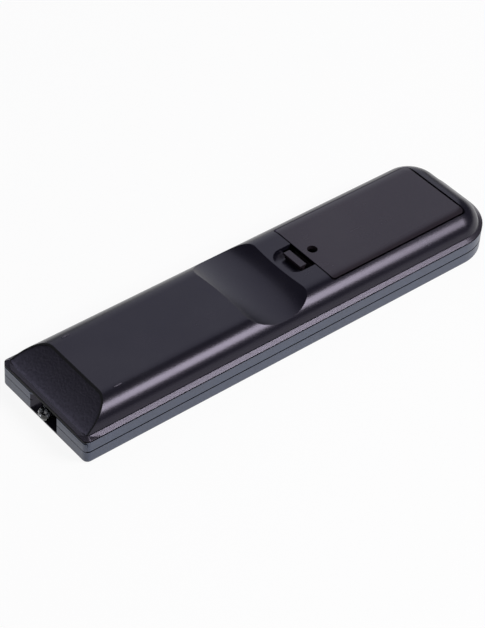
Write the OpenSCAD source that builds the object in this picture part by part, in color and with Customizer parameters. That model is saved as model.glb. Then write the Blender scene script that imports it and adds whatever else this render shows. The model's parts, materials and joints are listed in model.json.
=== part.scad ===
// Universal remote control, lying face down with its back up.
// The nose with the infrared emitter points to -Y and the battery end to +Y.
// The bottom of the part is the plane of the face, and all sizes are millimetres.

/* [Case] */
// Width across the long sides
body_w = 46; // [42:0.5:52]
// Length from the nose to the tail
body_l = 182; // [164:1:200]
// Height from the face to the flat of the back
body_h = 17.4; // [17.1:0.1:19.6]
// Height of the front shell's side
front_h = 4.9; // [4.6:0.1:5.2]
// Height of the upright band of the back shell
band_h = 4.1; // [3.9:0.1:4.6]
// Wall of both shells
wall = 1.8; // [1.6:0.1:2]
// Wall at the nose, round the emitter
nose_wall = 2.8; // [2.4:0.1:3.2]
// Thickness of the front shell's plate
plate_t = 1.8; // [1.5:0.1:2]
// Corner radius at the nose
nose_corner_r = 2; // [1.5:0.1:4]
// Corner radius at the tail
tail_corner_r = 16.5; // [14:0.5:18]
// Round-over of the face's edge
edge_r = 1; // [0.5:0.1:1.4]
// Height of the parting line between the shells
parting_h = 0.5; // [0.3:0.05:0.6]
// Height of the line under the shoulder
line_h = 0.55; // [0.4:0.05:0.65]
// Depth of both lines
line_d = 0.6; // [0.4:0.05:0.7]

/* [Back] */
// Distance from the case side to the edge of the flat back
flat_in = 10.6; // [9.8:0.1:11.2]
// Width of the shoulder between the band and the hump
shoulder_w = 1.45; // [1.2:0.05:1.8]
// Extra width of the shoulder at the tail
tail_in = 1.1; // [0.6:0.1:1.6]
// Radius of the hump's outline at the tail corners, measured at the case side
hump_corner_r = 14; // [13:0.5:16.5]
// Rise of the shoulder
shoulder_h = 0.85; // [0.6:0.05:1.2]
// Length of the slope at the nose
slope_l = 12.8; // [12:0.1:13.2]
// Angle of the slope at the nose
slope_angle = 32; // [31:0.5:33]
// Radius of the lip at the foot of the slope
lip_r = 1.2; // [0.8:0.1:1.3]
// Drop of the lip's underside below the top of the band
lip_drop = 0.5; // [0.3:0.1:0.6]
// Height of the groove under the lip
groove_h = 1.4; // [1:0.1:1.5]
// Depth of the groove under the lip
groove_d = 0.9; // [0.6:0.1:1.1]
// Depth of the grained panel on the slope
panel_d = 0.25; // [0.15:0.05:0.4]
// Rim left round the grained panel
panel_rim = 0.5; // [0.3:0.1:0.8]
// Corner radius of the lip, the shoulder and the hump at the nose
brow_r = 6.5; // [4:0.5:7]
// Middle of the finger scoop to the front edge of the door
scoop_off = 23.5; // [23:0.1:27]
// Width of the finger scoop along the remote, in the middle of the back
scoop_w = 23.8; // [20:0.2:24.2]
// Depth of the finger scoop in the middle of the back
scoop_d = 2.65; // [2:0.05:2.8]
// Radius by which the scoop's floor is crowned across the back
scoop_crown = 220; // [180:5:400]
// Nose to the two locating pips
pip_y = 18.8; // [17:0.1:24]
// Case side to a pip
pip_in = 9; // [8.6:0.1:9.8]
// Length of a pip
pip_l = 3; // [2:0.1:4]
// Radius of a pip
pip_r = 0.3; // [0.2:0.05:0.4]

/* [Battery door] */
// Rear edge of the door to the tail
door_end = 11.9; // [11:0.1:14]
// Length of the door
door_l = 62; // [61.5:0.1:64]
// Width of the door
door_w = 31.4; // [30.6:0.1:32.4]
// Thickness of the door
door_t = 1.5; // [1.3:0.1:1.7]
// Corner radius of the door's front
door_front_r = 0.8; // [0.6:0.1:2]
// Corner radius of the door's rear
door_rear_r = 3; // [2:0.1:5]
// Seam round the door
door_gap = 0.3; // [0.25:0.05:0.4]
// Width of the finger recess at the door
recess_w = 13.1; // [12.6:0.1:13.6]
// Length of the finger recess
recess_l = 10.8; // [10.2:0.1:11]
// Corner radius of the finger recess
recess_r = 5.3; // [3:0.1:6.2]
// Depth of the recess where it starts
recess_d = 2; // [1.6:0.1:2.2]
// Depth of the recess at the latch
pan_d = 2.5; // [2.3:0.05:2.6]
// Width of the latch tongue
latch_w = 8.8; // [7:0.1:9.2]
// Thickness of the latch tongue
latch_t = 1; // [0.8:0.05:1.1]
// Inner radius of the latch's bend
latch_r = 1.6; // [1.5:0.05:1.7]
// Reach of the latch's lugs under their catches
hook = 0.3; // [0.2:0.05:0.35]
// Diameter of the hole in the door
hole_d = 3.7; // [2.5:0.1:4.4]

/* [Batteries] */
// Diameter of a cell
cell_d = 10.5; // [10:0.1:10.6]
// Length of a cell with its nub
cell_l = 44.5; // [43.5:0.1:44.8]
// Room left round a cell
cell_gap = 0.35; // [0.25:0.05:0.45]
// Thickness of the contact plates
contact_t = 0.4; // [0.3:0.05:0.5]
// Length of a coil spring
spring_l = 5.2; // [5:0.1:5.4]
// Wire of a coil spring
spring_wire = 0.6; // [0.5:0.05:0.65]
// Middle diameter of a coil spring
spring_d = 6.4; // [5:0.1:7.4]

/* [Keys] */
// Travel of a key
key_travel = 1; // [0.8:0.05:1]
// Gap round a key in its hole
key_gap = 0.25; // [0.2:0.05:0.3]
// Flange that holds a key behind the plate
key_flange = 0.5; // [0.4:0.05:0.55]
// Thickness of the flange
flange_t = 0.8; // [0.6:0.05:0.9]
// Crown of a key
key_crown = 0.35; // [0.2:0.05:0.5]
// Height of a key above the sunk key field
key_proud = 0.9; // [0.6:0.05:0.95]
// Depth of the sunk key field
field_d = 1.1; // [1:0.05:1.2]
// Gap between neighbouring small keys
small_space = 2.3; // [2:0.1:3]
// Gap between neighbouring digit keys
digit_space = 3; // [2.2:0.1:5]
// Length of a digit key, in pitches of its rows
digit_fill = 0.6; // [0.45:0.05:0.65]
// Diameter of the power key, in pitches of the digit rows
power_fill = 1; // [0.7:0.05:1.1]
// Outer radius of the direction keys, in pitches of the digit rows
ring_fill = 1.45; // [1.3:0.05:1.45]
// Diameter of the centre key, in pitches of the digit rows
centre_fill = 1.1; // [0.8:0.05:1.1]

/* [Electronics] */
// Thickness of the circuit board
board_t = 1.6; // [1.2:0.1:1.7]
// Thickness of the rubber key mat
mat_t = 1; // [0.8:0.05:1.1]
// Diameter of the infrared emitter
led_d = 5; // [4.6:0.1:5.2]
// Height of the emitter's axis above the face
led_z = 4.1; // [3.9:0.05:4.3]
// Reach of the emitter past the nose
led_proud = 1.6; // [0.5:0.1:2]
// Width of the emitter's notch at the nose
notch_w = 14.5; // [13:0.1:16]
// Width of the notch inside the wall
notch_in_w = 9; // [8:0.1:10]
// Thickness of the face left under the notch
notch_floor = 1.2; // [0.8:0.1:1.4]

/* [Hidden] */
$fn = 64;
big = 400;
// Tiny overlap where two shapes of one solid meet
weld = 0.05;

// Frame: the box that the part fills is centred on the origin
nose_y = led_proud - (body_l + led_proud) / 2;
tail_y = nose_y + body_l;
half_w = body_w / 2;
door_y = body_l - door_end - door_l;
scoop_y = door_y - scoop_off;
band_z = front_h + band_h;
shoulder_z = band_z + line_h + shoulder_h;
flat_x = half_w - flat_in;
hump_r = flat_in - shoulder_w;
hump_x = flat_x + hump_r;
hump_z = body_h - hump_r;
pip_x = half_w - pip_in;
pip_z = hump_z + sqrt(pow(hump_r, 2) - pow(pip_x - flat_x, 2));
nose_cx = half_w - nose_corner_r;
nose_cy = nose_y + nose_corner_r;
slope_y = nose_y + slope_l;
groove_z = band_z - lip_drop;
scoop_r = (pow(scoop_w / 2, 2) + pow(scoop_d, 2)) / (2 * scoop_d);
scoop_reach = 1.2 * half_w;
scoop_turn = 2 * asin(scoop_reach / scoop_crown);

// Fit of the two shells
lip_gap = 0.1;
lip_t = 0.8;
lip_h = 1.1;
front_wall = wall + lip_gap + lip_t;
band_roof_z = band_z - line_d;

// Stack behind the face
field_z = field_d + plate_t;
key_tip_z = field_d - key_proud;
seat_gap = 0.05;
flange_z = field_z + seat_gap;
stop_gap = 0.3;
mat_z = flange_z + flange_t + key_travel + stop_gap;
board_z = mat_z + mat_t;
board_top = board_z + board_t;
plunger_d = 2.4;
plunger_gap = 0.3;
plunger_z = board_z - key_travel - seat_gap;

// Key field, measured from the nose: its rows share the room up to the door
field_in = 3.8;
field_r = 3;
field_start = 8.6;
field_rows = 12.44;
field_margin = 2.6;
row = (door_y - field_start) / field_rows;
top_row = field_start + 0.75 * row;
mode_row = field_start + 2 * row;
digit_row = field_start + 3.05 * row;
ring_row = field_start + 8.13 * row;
volume_row = field_start + 10.3 * row;
volume_pitch = 0.94 * row;
colour_row = field_start + 12.1 * row;
mode_l = 0.5 * row;
colour_l = 0.45 * row;
digit_l = digit_fill * row;
power_d = power_fill * row;
setup_d = 0.75 * power_d;
ring_r = ring_fill * row;
ring_in = 0.8 * row;
centre_d = centre_fill * row;
spoke = 2.2;
field_end = colour_row + colour_l / 2 + field_margin;

// Columns of the keys, from the width of the case
small_side = 4.4;
digit_side = 5;
top_side = 10;
small_pitch = (half_w - small_side) / 2;
digit_pitch = (half_w - digit_side) / 1.5;
small_w = small_pitch - small_space;
digit_w = digit_pitch - digit_space;
top_x = half_w - top_side;
indicator_d = 3;
indicator_gap = 0.2;

// Circuit board and mat
rail_in = 4.2;
rail_gap = 0.3;
board_in = 2.8;
board_start = 8;
mat_start = 10.6;
board_short = 0.8;
board_end = field_end - board_short;
post_d = 4;
post_in = 8;
posts = [0.28 * door_y, 0.54 * door_y];
rail_short = 2;

// Emitter
led_rim = 0.25;
led_rim_l = 1;
led_body_l = 6.1;
led_gap = 0.15;
led_dome_y = nose_y - led_proud + led_d / 2;
led_base_y = led_dome_y + led_body_l;
lead_t = 0.5;
lead_pitch = 2.54;
lead_run = 2.2;
lead_tail = 0.8;
lead_hole = 0.9;

// Battery bay under the door
door_y0 = nose_y + door_y;
door_y1 = door_y0 + door_l;
seat = 0.2;
ledge_t = 1.6;
ledge_margin = 1.2;
ledge_z = body_h - door_t - seat;
bay_wall = 1.5;
bay_front = 8.9;
bay_floor_t = 1;
bay_w = 2 * cell_d + 3 * cell_gap;
bay_l = contact_t * 2 + cell_l + spring_l;
bay_y0 = door_y0 + bay_front;
bay_y1 = bay_y0 + bay_l;
cell_z = ledge_z - seat - cell_gap - cell_d / 2;
bay_floor_z = cell_z - cell_d / 2 - cell_gap;
cell_x = (cell_d + cell_gap) / 2;
nub_d = 3.8;
nub_l = 1;
plate_in = 0.3;
plate_w = cell_d - 2 * plate_in;
plate_h = 8.6;

// Latch of the door: a tongue on a half-round bend
latch_ahead = 1.3;
latch_under = 1.15;
latch_sunk = 0.2;
latch_room = 0.6;
latch_side = 0.3;
latch_open = 19;
latch_cy = door_y0 - latch_ahead;
latch_cz = board_top + latch_under + latch_r + latch_t;
latch_leg_y = latch_cy - latch_r - latch_t;
latch_top_z = body_h - latch_sunk;
thumb_ahead = 1.15;
thumb_l = 2.65;
thumb_h = 0.9;
lug_w = 0.9;
lug_l = 0.6;
lug_h = 0.8;
lug_gap = 0.45;
lug_y = latch_leg_y + latch_t - lug_l;
catch_y = lug_y + hook;
catch_t = 0.7;
pan_y = latch_leg_y - latch_room;
recess_y = door_y0 - recess_l;
pan_fall = (pan_d - recess_d) / (pan_y - recess_y);
catch_z = body_h - pan_d - pan_fall * (catch_y - pan_y);
pan_end_z = catch_z - catch_t;
pocket_room = 5.4;
pocket_end = door_y0 + latch_t + pocket_room;
pivot_r = door_t / 2;
pivot_y = door_y1 - pivot_r;
pivot_z = body_h - pivot_r;
tab_w = 5;
tab_x = 7;
tab_t = 1;
tab_reach = 1.5;
tab_gap = 0.35;
tab_root = 0.9;
tab_root_y = pivot_y - tab_root;
tab_z = body_h - wall - tab_gap - tab_t;
tab_sweep_r = norm([door_y1 + tab_reach - pivot_y, pivot_z - tab_z]) + tab_gap;
hole_in = 4.1;

// Screws between the latch and the bay
screw_side = 1.4;
screw_in = 4.4;
screw_x = flat_x - screw_side;
screw_y = door_y0 + screw_in;
screw_d = 2.6;
screw_head_d = 5;
screw_head_h = 1.4;
screw_fit = 0.1;
boss_d = 6;
boss_over = 0.4;
boss_meet_z = board_top + boss_over;
slot_w = 0.9;

// Coil springs
coil_turns = 3;
coil_rings = 8;
coil_sides = 6;
coil_r = spring_d / 2;
coil_clear = 0.1;
coil_pitch = (spring_l - spring_wire - 2 * coil_clear) / coil_turns;

// Parts on the back of the board
chip = [7.5, 12.8, 2.3];
chip_y = 0.42 * door_y;
chip_legs = 10;
chip_pitch = 1.27;
chip_leg_w = 0.45;
chip_leg_l = 1.3;
chip_leg_t = 0.25;
can_d = 5;
can_l = 8;
can_x = 6;
can_ahead = 14.6;
can_y = scoop_y - can_ahead;
resonator_size = [7, 3, 4];
resonator_x = -6;
resonator_y = 0.57 * door_y;
transistor_d = 4.6;
transistor_h = 4.6;
transistor_y = 18;
resistor_d = 1.8;
resistor_l = 4;
resistor_y = 26;
resistor_pitch = 3.4;

// Every key: name, shape, x, distance from the nose, width, length, colour
key_grey = "#4a4a50";
KEYS = concat(
    [
        ["power_key", "round", -top_x, top_row, power_d, power_d, "#b3232a"],
        ["setup_key", "round", top_x, top_row, setup_d, setup_d, key_grey]
    ],
    [for (i = [0:3]) [str("mode_key_", i + 1), "pill", (i - 1.5) * small_pitch, mode_row,
        small_w, mode_l, "#6a6a72"]],
    [for (i = [1:9]) [str("digit_key_", i), "pill", ((i - 1) % 3 - 1) * digit_pitch,
        digit_row + floor((i - 1) / 3) * row, digit_w, digit_l, key_grey]],
    [for (c = [["entry_key", -1], ["digit_key_0", 0], ["input_key", 1]]) [c[0], "pill",
        c[1] * digit_pitch, digit_row + 3 * row, digit_w, digit_l, key_grey]],
    [for (c = [["up_key", 180], ["right_key", 270], ["down_key", 0], ["left_key", 90]])
        [c[0], "sector", 0, ring_row, c[1], 2 * ring_r, key_grey]],
    [["centre_key", "round", 0, ring_row, centre_d, centre_d, "#6a6a72"]],
    [for (c = [["volume_up_key", -1, 0], ["mute_key", 0, 0], ["channel_up_key", 1, 0],
        ["volume_down_key", -1, 1], ["menu_key", 0, 1], ["channel_down_key", 1, 1]])
        [c[0], "pill", c[1] * digit_pitch, volume_row + c[2] * volume_pitch,
        digit_w, digit_l, key_grey]],
    [for (c = [["red_key", 0, "#b3232a"], ["green_key", 1, "#2f8a43"],
        ["yellow_key", 2, "#d0a92a"], ["blue_key", 3, "#2b55a3"]])
        [c[0], "pill", (c[1] - 1.5) * small_pitch, colour_row, small_w, colour_l, c[2]]]
);

FIXED = ["back_case", "front_case", "battery_door", "door_latch", "battery_left", "battery_right",
    "spring_left", "spring_right", "contact_bridge", "contact_negative", "contact_positive",
    "circuit_board", "key_mat", "controller_chip", "resonator", "capacitor", "driver_transistor",
    "resistors", "ir_emitter", "emitter_leads", "indicator_lamp", "case_screws"];

case_colour = "#38363f";
metal_colour = "#b9bcc0";

// Outline of the case seen from the back, drawn in by a distance
module outline(in) {
    w = half_w - in;
    rn = max(nose_corner_r - in, weld);
    rt = tail_corner_r - in;
    y0 = nose_y + in;
    y1 = tail_y - in;
    translate([-w, y0 + rn])
        square([2 * w, y1 - rt - y0 - rn]);
    translate([rn - w, y0])
        square([2 * (w - rn), 2 * rn]);
    translate([rt - w, y1 - 2 * rt])
        square([2 * (w - rt), 2 * rt]);
    for (s = [-1, 1]) {
        translate([s * (w - rn), y0 + rn])
            circle(rn);
        translate([s * (w - rt), y1 - rt])
            circle(rt);
    }
}

// Half section from a distance outwards, moved to the axis of a corner
module section_past(x) {
    intersection() {
        translate([-x, 0])
            children();
        square([big, big]);
    }
}

// A half section carried along the sides and round the tail, and round the nose where asked
module sweep(nose_round = false, corner_r = tail_corner_r, end_y = tail_y) {
    start_y = nose_round ? nose_cy : nose_y;
    corner_x = half_w - corner_r;
    corner_y = end_y - corner_r;
    translate([0, corner_y, 0])
        rotate([90, 0, 0])
            linear_extrude(corner_y - start_y) {
                children();
                mirror([1, 0])
                    children();
            }
    for (s = [0, 1])
        mirror([s, 0, 0])
            translate([corner_x, corner_y, 0])
                rotate_extrude(angle = 90)
                    section_past(corner_x)
                        children();
    translate([-corner_x, corner_y, 0])
        rotate([90, 0, 90])
            linear_extrude(2 * corner_x)
                section_past(corner_x)
                    children();
    if (nose_round) {
        for (s = [0, 1])
            mirror([s, 0, 0])
                translate([nose_cx, nose_cy, 0])
                    rotate([0, 0, -90])
                        rotate_extrude(angle = 90)
                            section_past(nose_cx)
                                children();
        translate([nose_cx, nose_cy, 0])
            rotate([90, 0, -90])
                linear_extrude(2 * nose_cx)
                    section_past(nose_cx)
                        children();
    }
}

// Half section of the hump, drawn in by a distance, from a height upwards
module hump_section(in, from) {
    intersection() {
        union() {
            square([flat_x, body_h - in]);
            square([hump_x - in, hump_z]);
            translate([flat_x, hump_z])
                circle(hump_r - in);
        }
        translate([0, from])
            square([big, big]);
    }
}

module hump(in, from) {
    sweep(corner_r = hump_corner_r, end_y = tail_y - tail_in)
        hump_section(in, from);
}

// Everything above the slope of the nose, moved down by a distance
module above_slope(in) {
    translate([-big / 2, slope_y, body_h])
        rotate([slope_angle, 0, 0])
            translate([0, -big / 2, -in])
                cube([big, big, big]);
}

// Corner cut away to leave the lip at the foot of the slope
module lip_corner() {
    foot_z = body_h - slope_l * tan(slope_angle);
    run = lip_r * tan((90 - slope_angle) / 2);
    axis = [nose_y + lip_r, foot_z - run];
    rotate([90, 0, 90])
        linear_extrude(big, center = true)
            difference() {
                polygon([
                    [nose_y - 1, foot_z - run],
                    axis,
                    [nose_y + run * cos(slope_angle), foot_z + run * sin(slope_angle)],
                    [nose_y - 1, foot_z + run * sin(slope_angle) + 1]
                ]);
                translate(axis)
                    circle(lip_r);
            }
}

// Corners cut away from the lip upwards to round it at both ends of the nose
module brow_corners() {
    for (s = [0, 1])
        mirror([s, 0, 0])
            translate([half_w - brow_r, nose_y + brow_r, groove_z])
                linear_extrude(body_h)
                    difference() {
                        translate([0, -brow_r - 1])
                            square(brow_r + 1);
                        circle(brow_r);
                    }
}

// Finger scoop: a round groove with a crowned floor, grown by the wall under it
module scoop(grow) {
    translate([0, nose_y + scoop_y, body_h - scoop_d - scoop_crown])
        rotate([-90, 0, 0])
            rotate(-90 - scoop_turn / 2)
                rotate_extrude(angle = scoop_turn, $fn = 720)
                    translate([scoop_crown + scoop_r, 0])
                        circle(scoop_r + grow, $fn = 180);
}

// Notch of the emitter through both shells, up to the groove under the lip
module emitter_notch() {
    splay = (notch_w - notch_in_w) / 2;
    translate([0, 0, notch_floor])
        linear_extrude(groove_z - notch_floor)
            polygon([
                [-notch_w / 2, nose_y - 1],
                [notch_w / 2, nose_y - 1],
                [notch_w / 2, nose_y],
                [notch_in_w / 2, nose_y + splay],
                [notch_in_w / 2, nose_y + nose_wall + 1],
                [-notch_in_w / 2, nose_y + nose_wall + 1],
                [-notch_in_w / 2, nose_y + splay],
                [-notch_w / 2, nose_y]
            ]);
}

// Plan of the door, grown by a distance
module door_plan(grow) {
    w = door_w / 2 + grow;
    rf = door_front_r + grow;
    rr = door_rear_r + grow;
    y0 = door_y0 - grow;
    y1 = door_y1 + grow;
    translate([-w, y0 + rf])
        square([2 * w, y1 - rr - y0 - rf]);
    translate([rf - w, y0])
        square([2 * (w - rf), 2 * rf]);
    translate([rr - w, y1 - 2 * rr])
        square([2 * (w - rr), 2 * rr]);
    for (s = [-1, 1]) {
        translate([s * (w - rf), y0 + rf])
            circle(rf);
        translate([s * (w - rr), y1 - rr])
            circle(rr);
    }
}

// Plan of the finger recess, rounded at its nose side
module recess_plan() {
    w = recess_w / 2;
    translate([-w, recess_y + recess_r])
        square([recess_w, pocket_end - recess_y - recess_r]);
    translate([recess_r - w, recess_y])
        square([recess_w - 2 * recess_r, 2 * recess_r]);
    for (s = [-1, 1])
        translate([s * (w - recess_r), recess_y + recess_r])
            circle(recess_r);
}

// Sloping pan that drops into the deep pocket of the latch at a distance along the remote
module pan_space(width, end) {
    rotate([90, 0, 90])
        linear_extrude(width, center = true)
            polygon([
                [recess_y, body_h + 1],
                [recess_y, body_h - recess_d],
                [end, body_h - recess_d - pan_fall * (end - recess_y)],
                [end, bay_floor_z],
                [pocket_end, bay_floor_z],
                [pocket_end, body_h + 1]
            ]);
}

// Space of the finger recess, with a catch left on each side of the latch tongue
module recess_space() {
    intersection() {
        linear_extrude(big)
            recess_plan();
        union() {
            pan_space(latch_w + 2 * latch_side, pan_y);
            pan_space(recess_w, catch_y);
        }
    }
}

// Things inside the back shell that grow from its wall
module back_inside() {
    intersection() {
        union() {
            translate([-bay_w / 2 - bay_wall, bay_y0 - bay_wall, bay_floor_z - bay_floor_t])
                cube([bay_w + 2 * bay_wall, bay_l + 2 * bay_wall, body_h]);
            translate([0, 0, ledge_z - ledge_t])
                linear_extrude(body_h)
                    door_plan(ledge_margin);
            translate([-recess_w / 2 - wall, recess_y - wall, pan_end_z])
                cube([recess_w + 2 * wall, catch_y - recess_y + wall, body_h]);
            for (s = [-1, 1]) {
                translate([s * screw_x, screw_y, boss_meet_z])
                    cylinder(d = boss_d, h = body_h);
                for (y = posts)
                    translate([s * (half_w - post_in), nose_y + y, board_top + seat_gap])
                        cylinder(d = post_d, h = body_h);
            }
        }
        hump(wall / 3, bay_floor_z - bay_floor_t - 1);
    }
}

// Screw hole with a counterbore for its head
module screw_space() {
    for (s = [-1, 1])
        translate([s * screw_x, screw_y, 0]) {
            translate([0, 0, plate_t])
                cylinder(d = screw_d + 2 * screw_fit, h = ledge_z);
            translate([0, 0, ledge_z - screw_head_h - screw_fit])
                cylinder(d = screw_head_d + 4 * screw_fit, h = body_h);
        }
}

module back_case() {
    color(case_colour)
        difference() {
            union() {
                difference() {
                    intersection() {
                        union() {
                            sweep()
                                base_section();
                            hump(0, front_h);
                        }
                        linear_extrude(body_h + 1)
                            outline(0);
                    }
                    back_cavity();
                    above_slope(0);
                    lip_corner();
                    brow_corners();
                }
                back_inside();
                for (s = [-1, 1])
                    translate([s * pip_x, nose_y + pip_y + pip_l / 2, pip_z])
                        rotate([90, 0, 0])
                            cylinder(r = pip_r, h = pip_l);
            }
            scoop(0);
            // grained panel
            intersection() {
                above_slope(panel_d);
                translate([0, panel_rim, 0])
                    hump(panel_rim, band_z + line_h + panel_rim);
            }
            // door opening with its seat
            difference() {
                translate([0, 0, hump_z])
                    linear_extrude(body_h)
                        door_plan(door_gap);
                hump(door_t + seat, hump_z - 1);
            }
            // room for the cells
            translate([-bay_w / 2, bay_y0, bay_floor_z])
                cube([bay_w, bay_l, body_h]);
            // room in which the door's tabs turn
            intersection() {
                for (s = [-1, 1])
                    translate([s * tab_x, pivot_y, pivot_z])
                        rotate([0, 90, 0])
                            cylinder(r = tab_sweep_r, h = tab_w + 2 * door_gap, center = true);
                translate([-half_w, 0, 0])
                    cube([body_w, tail_y, ledge_z + weld]);
            }
            // groove under the lip
            translate([-half_w, nose_y - 1, groove_z - groove_h])
                cube([body_w, groove_d + 1, groove_h]);
            recess_space();
            screw_space();
            emitter_notch();
        }
}

// Half section of the back shell's band and shoulder
module base_section() {
    translate([0, front_h + parting_h / 2])
        square([half_w, band_h - parting_h / 2]);
    translate([0, front_h])
        square([half_w - line_d, band_h]);
    translate([0, band_z])
        square([half_w - line_d, line_h]);
    polygon([
        [0, band_z + line_h],
        [half_w, band_z + line_h],
        [hump_x, shoulder_z],
        [0, shoulder_z]
    ]);
}

// Hollow of the back shell
module back_cavity() {
    difference() {
        intersection() {
            union() {
                sweep()
                    translate([0, front_h - 1])
                        square([half_w - wall, band_roof_z - front_h + 1]);
                hump(wall, front_h - 1);
            }
            translate([-big / 2, nose_y + nose_wall, 0])
                cube([big, big, big]);
        }
        above_slope(wall);
        scoop(wall);
    }
}

// Half section of the front shell's outside, with its rounded edge
module front_section() {
    square([half_w - edge_r, front_h]);
    translate([0, edge_r])
        square([half_w, front_h - edge_r - parting_h / 2]);
    square([half_w - line_d, front_h]);
    translate([half_w - edge_r, edge_r])
        circle(edge_r);
}

// Plan of the sunk key field, grown by a distance
module field_plan(grow) {
    w = half_w - field_in + grow;
    r = field_r + grow;
    y0 = nose_y + field_start - grow;
    y1 = nose_y + field_end + grow;
    translate([-w, y0 + r])
        square([2 * w, y1 - y0 - 2 * r]);
    translate([r - w, y0])
        square([2 * (w - r), y1 - y0]);
    for (s = [-1, 1])
        for (y = [y0 + r, y1 - r])
            translate([s * (w - r), y])
                circle(r);
}

module front_case() {
    color(case_colour)
        difference() {
            union() {
                difference() {
                    sweep(nose_round = true)
                        front_section();
                    translate([0, 0, plate_t])
                        linear_extrude(front_h)
                            intersection() {
                                outline(front_wall);
                                translate([-big / 2, nose_y + nose_wall])
                                    square([big, big]);
                            }
                }
                // plate behind the sunk field
                translate([0, 0, plate_t - weld])
                    linear_extrude(field_d + weld)
                        field_plan(plate_t);
                // lip inside the back shell
                translate([0, 0, front_h - 1])
                    linear_extrude(lip_h + 1)
                        intersection() {
                            difference() {
                                outline(wall + lip_gap);
                                outline(front_wall);
                            }
                            translate([-big / 2, nose_y + nose_wall + lip_gap])
                                square([big, big]);
                        }
                // rails under the circuit board
                for (s = [0, 1])
                    mirror([s, 0, 0])
                        translate([half_w - rail_in, nose_y + board_start + rail_short, plate_t - weld])
                            cube([rail_in - wall - lip_gap, board_end - board_start - 2 * rail_short,
                                board_z - plate_t + weld]);
                // bosses for the screws
                for (s = [-1, 1])
                    translate([s * screw_x, screw_y, plate_t - weld])
                        cylinder(d = boss_d, h = boss_meet_z - plate_t + weld);
            }
            translate([0, 0, -1])
                linear_extrude(field_d + 1)
                    field_plan(0);
            for (k = KEYS)
                translate([k[2], nose_y + k[3], 0])
                    linear_extrude(field_z + 1)
                        key_plan(k, key_gap);
            translate([0, nose_y + top_row, 0])
                cylinder(d = indicator_d + 2 * indicator_gap, h = field_z + 1);
            translate([0, nose_y, led_z])
                rotate([-90, 0, 0])
                    cylinder(d = led_d + 2 * (led_rim + led_gap), h = led_base_y - nose_y + led_gap);
            screw_space();
            emitter_notch();
        }
}

// Door: a piece of the hump's own wall
module battery_door() {
    color(case_colour) {
        difference() {
            union() {
                intersection() {
                    difference() {
                        hump(0, hump_z - 1);
                        hump(door_t, hump_z - 2);
                    }
                    translate([0, 0, hump_z])
                        linear_extrude(body_h)
                            door_plan(0);
                }
                // leg that carries the latch
                translate([-latch_w / 2, latch_cy + latch_r, latch_cz])
                    cube([latch_w, latch_t, body_h - door_t + weld - latch_cz]);
                // tabs that hold the rear edge under the case
                for (s = [-1, 1])
                    translate([s * tab_x - tab_w / 2, tab_root_y, tab_z]) {
                        cube([tab_w, tab_t, body_h - door_t + weld - tab_z]);
                        cube([tab_w, door_y1 + tab_reach - tab_root_y, tab_t]);
                    }
            }
            // round rear edge on which the door turns
            difference() {
                translate([-half_w, pivot_y, body_h - 2 * door_t])
                    cube([body_w, 2 * pivot_r, 2 * door_t + 1]);
                translate([0, pivot_y, pivot_z])
                    rotate([0, 90, 0])
                        cylinder(r = pivot_r, h = body_w, center = true);
            }
            translate([0, door_y0 + hole_in, body_h - 2 * door_t])
                cylinder(d = hole_d, h = 3 * door_t);
        }
    }
}

// Latch tongue: half-round bend, leg, thumb tab and a lug on each side
module door_latch() {
    color(case_colour) {
        translate([-latch_w / 2, latch_cy, latch_cz])
            rotate([90, 0, 90])
                rotate([0, 0, 180])
                    rotate_extrude(angle = 180 - latch_open)
                        translate([latch_r, 0])
                            square([latch_t, latch_w]);
        translate([-latch_w / 2, latch_leg_y, latch_cz])
            cube([latch_w, latch_t, latch_top_z - latch_cz]);
        translate([-latch_w / 2, latch_leg_y - thumb_ahead, latch_top_z - thumb_h])
            cube([latch_w, thumb_l, thumb_h]);
        translate([-latch_w / 2 - lug_w, lug_y, pan_end_z - lug_gap - lug_h])
            cube([latch_w + 2 * lug_w, lug_l, lug_h]);
    }
}

// A cell lying along the remote, its nub to the nose
module cell() {
    rotate([-90, 0, 0]) {
        cylinder(d = nub_d, h = nub_l + weld);
        translate([0, 0, nub_l])
            cylinder(d = cell_d, h = cell_l - nub_l);
    }
}

module battery_left() {
    color("#3f6b4c")
        translate([-cell_x, bay_y0 + contact_t, cell_z])
            cell();
}

module battery_right() {
    color("#3f6b4c")
        translate([cell_x, bay_y1 - contact_t, cell_z])
            rotate([0, 0, 180])
                cell();
}

// Coil spring: one tube swept along a helix that starts and ends clear of its neighbours
function coil_point(t) = [
    coil_r * cos(360 * t),
    coil_clear + spring_wire / 2 + coil_pitch * t,
    coil_r * sin(360 * t)
];
function coil_side(t, a) = coil_point(t) + spring_wire / 2
    * [cos(a) * cos(360 * t), sin(a), cos(a) * sin(360 * t)];
echo(least_gap_between_coils = coil_pitch - spring_wire);

module coil_spring() {
    n = coil_turns * coil_rings;
    last = n * coil_sides;
    polyhedron(
        points = [for (i = [0:n]) for (j = [0:coil_sides - 1])
            coil_side(i / coil_rings, 360 * j / coil_sides)],
        faces = concat(
            [for (i = [0:n - 1]) for (j = [0:coil_sides - 1]) let (
                a = i * coil_sides + j,
                b = i * coil_sides + (j + 1) % coil_sides)
                each [[a, a + coil_sides, b], [b, a + coil_sides, b + coil_sides]]],
            [for (j = [1:coil_sides - 2]) [0, j, j + 1]],
            [for (j = [1:coil_sides - 2]) [last, last + j + 1, last + j]]
        )
    );
}

module spring_left() {
    color(metal_colour)
        translate([-cell_x, bay_y1 - contact_t - spring_l, cell_z])
            coil_spring();
}

module spring_right() {
    color(metal_colour)
        translate([cell_x, bay_y0 + contact_t, cell_z])
            coil_spring();
}

// Plate of a contact against an end wall of the bay
module contact_plate(x, y, w) {
    color(metal_colour)
        translate([x - w / 2, y, cell_z - plate_h / 2])
            cube([w, contact_t, plate_h]);
}

module contact_bridge() {
    contact_plate(0, bay_y0, 2 * cell_x + plate_w);
}

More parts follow.
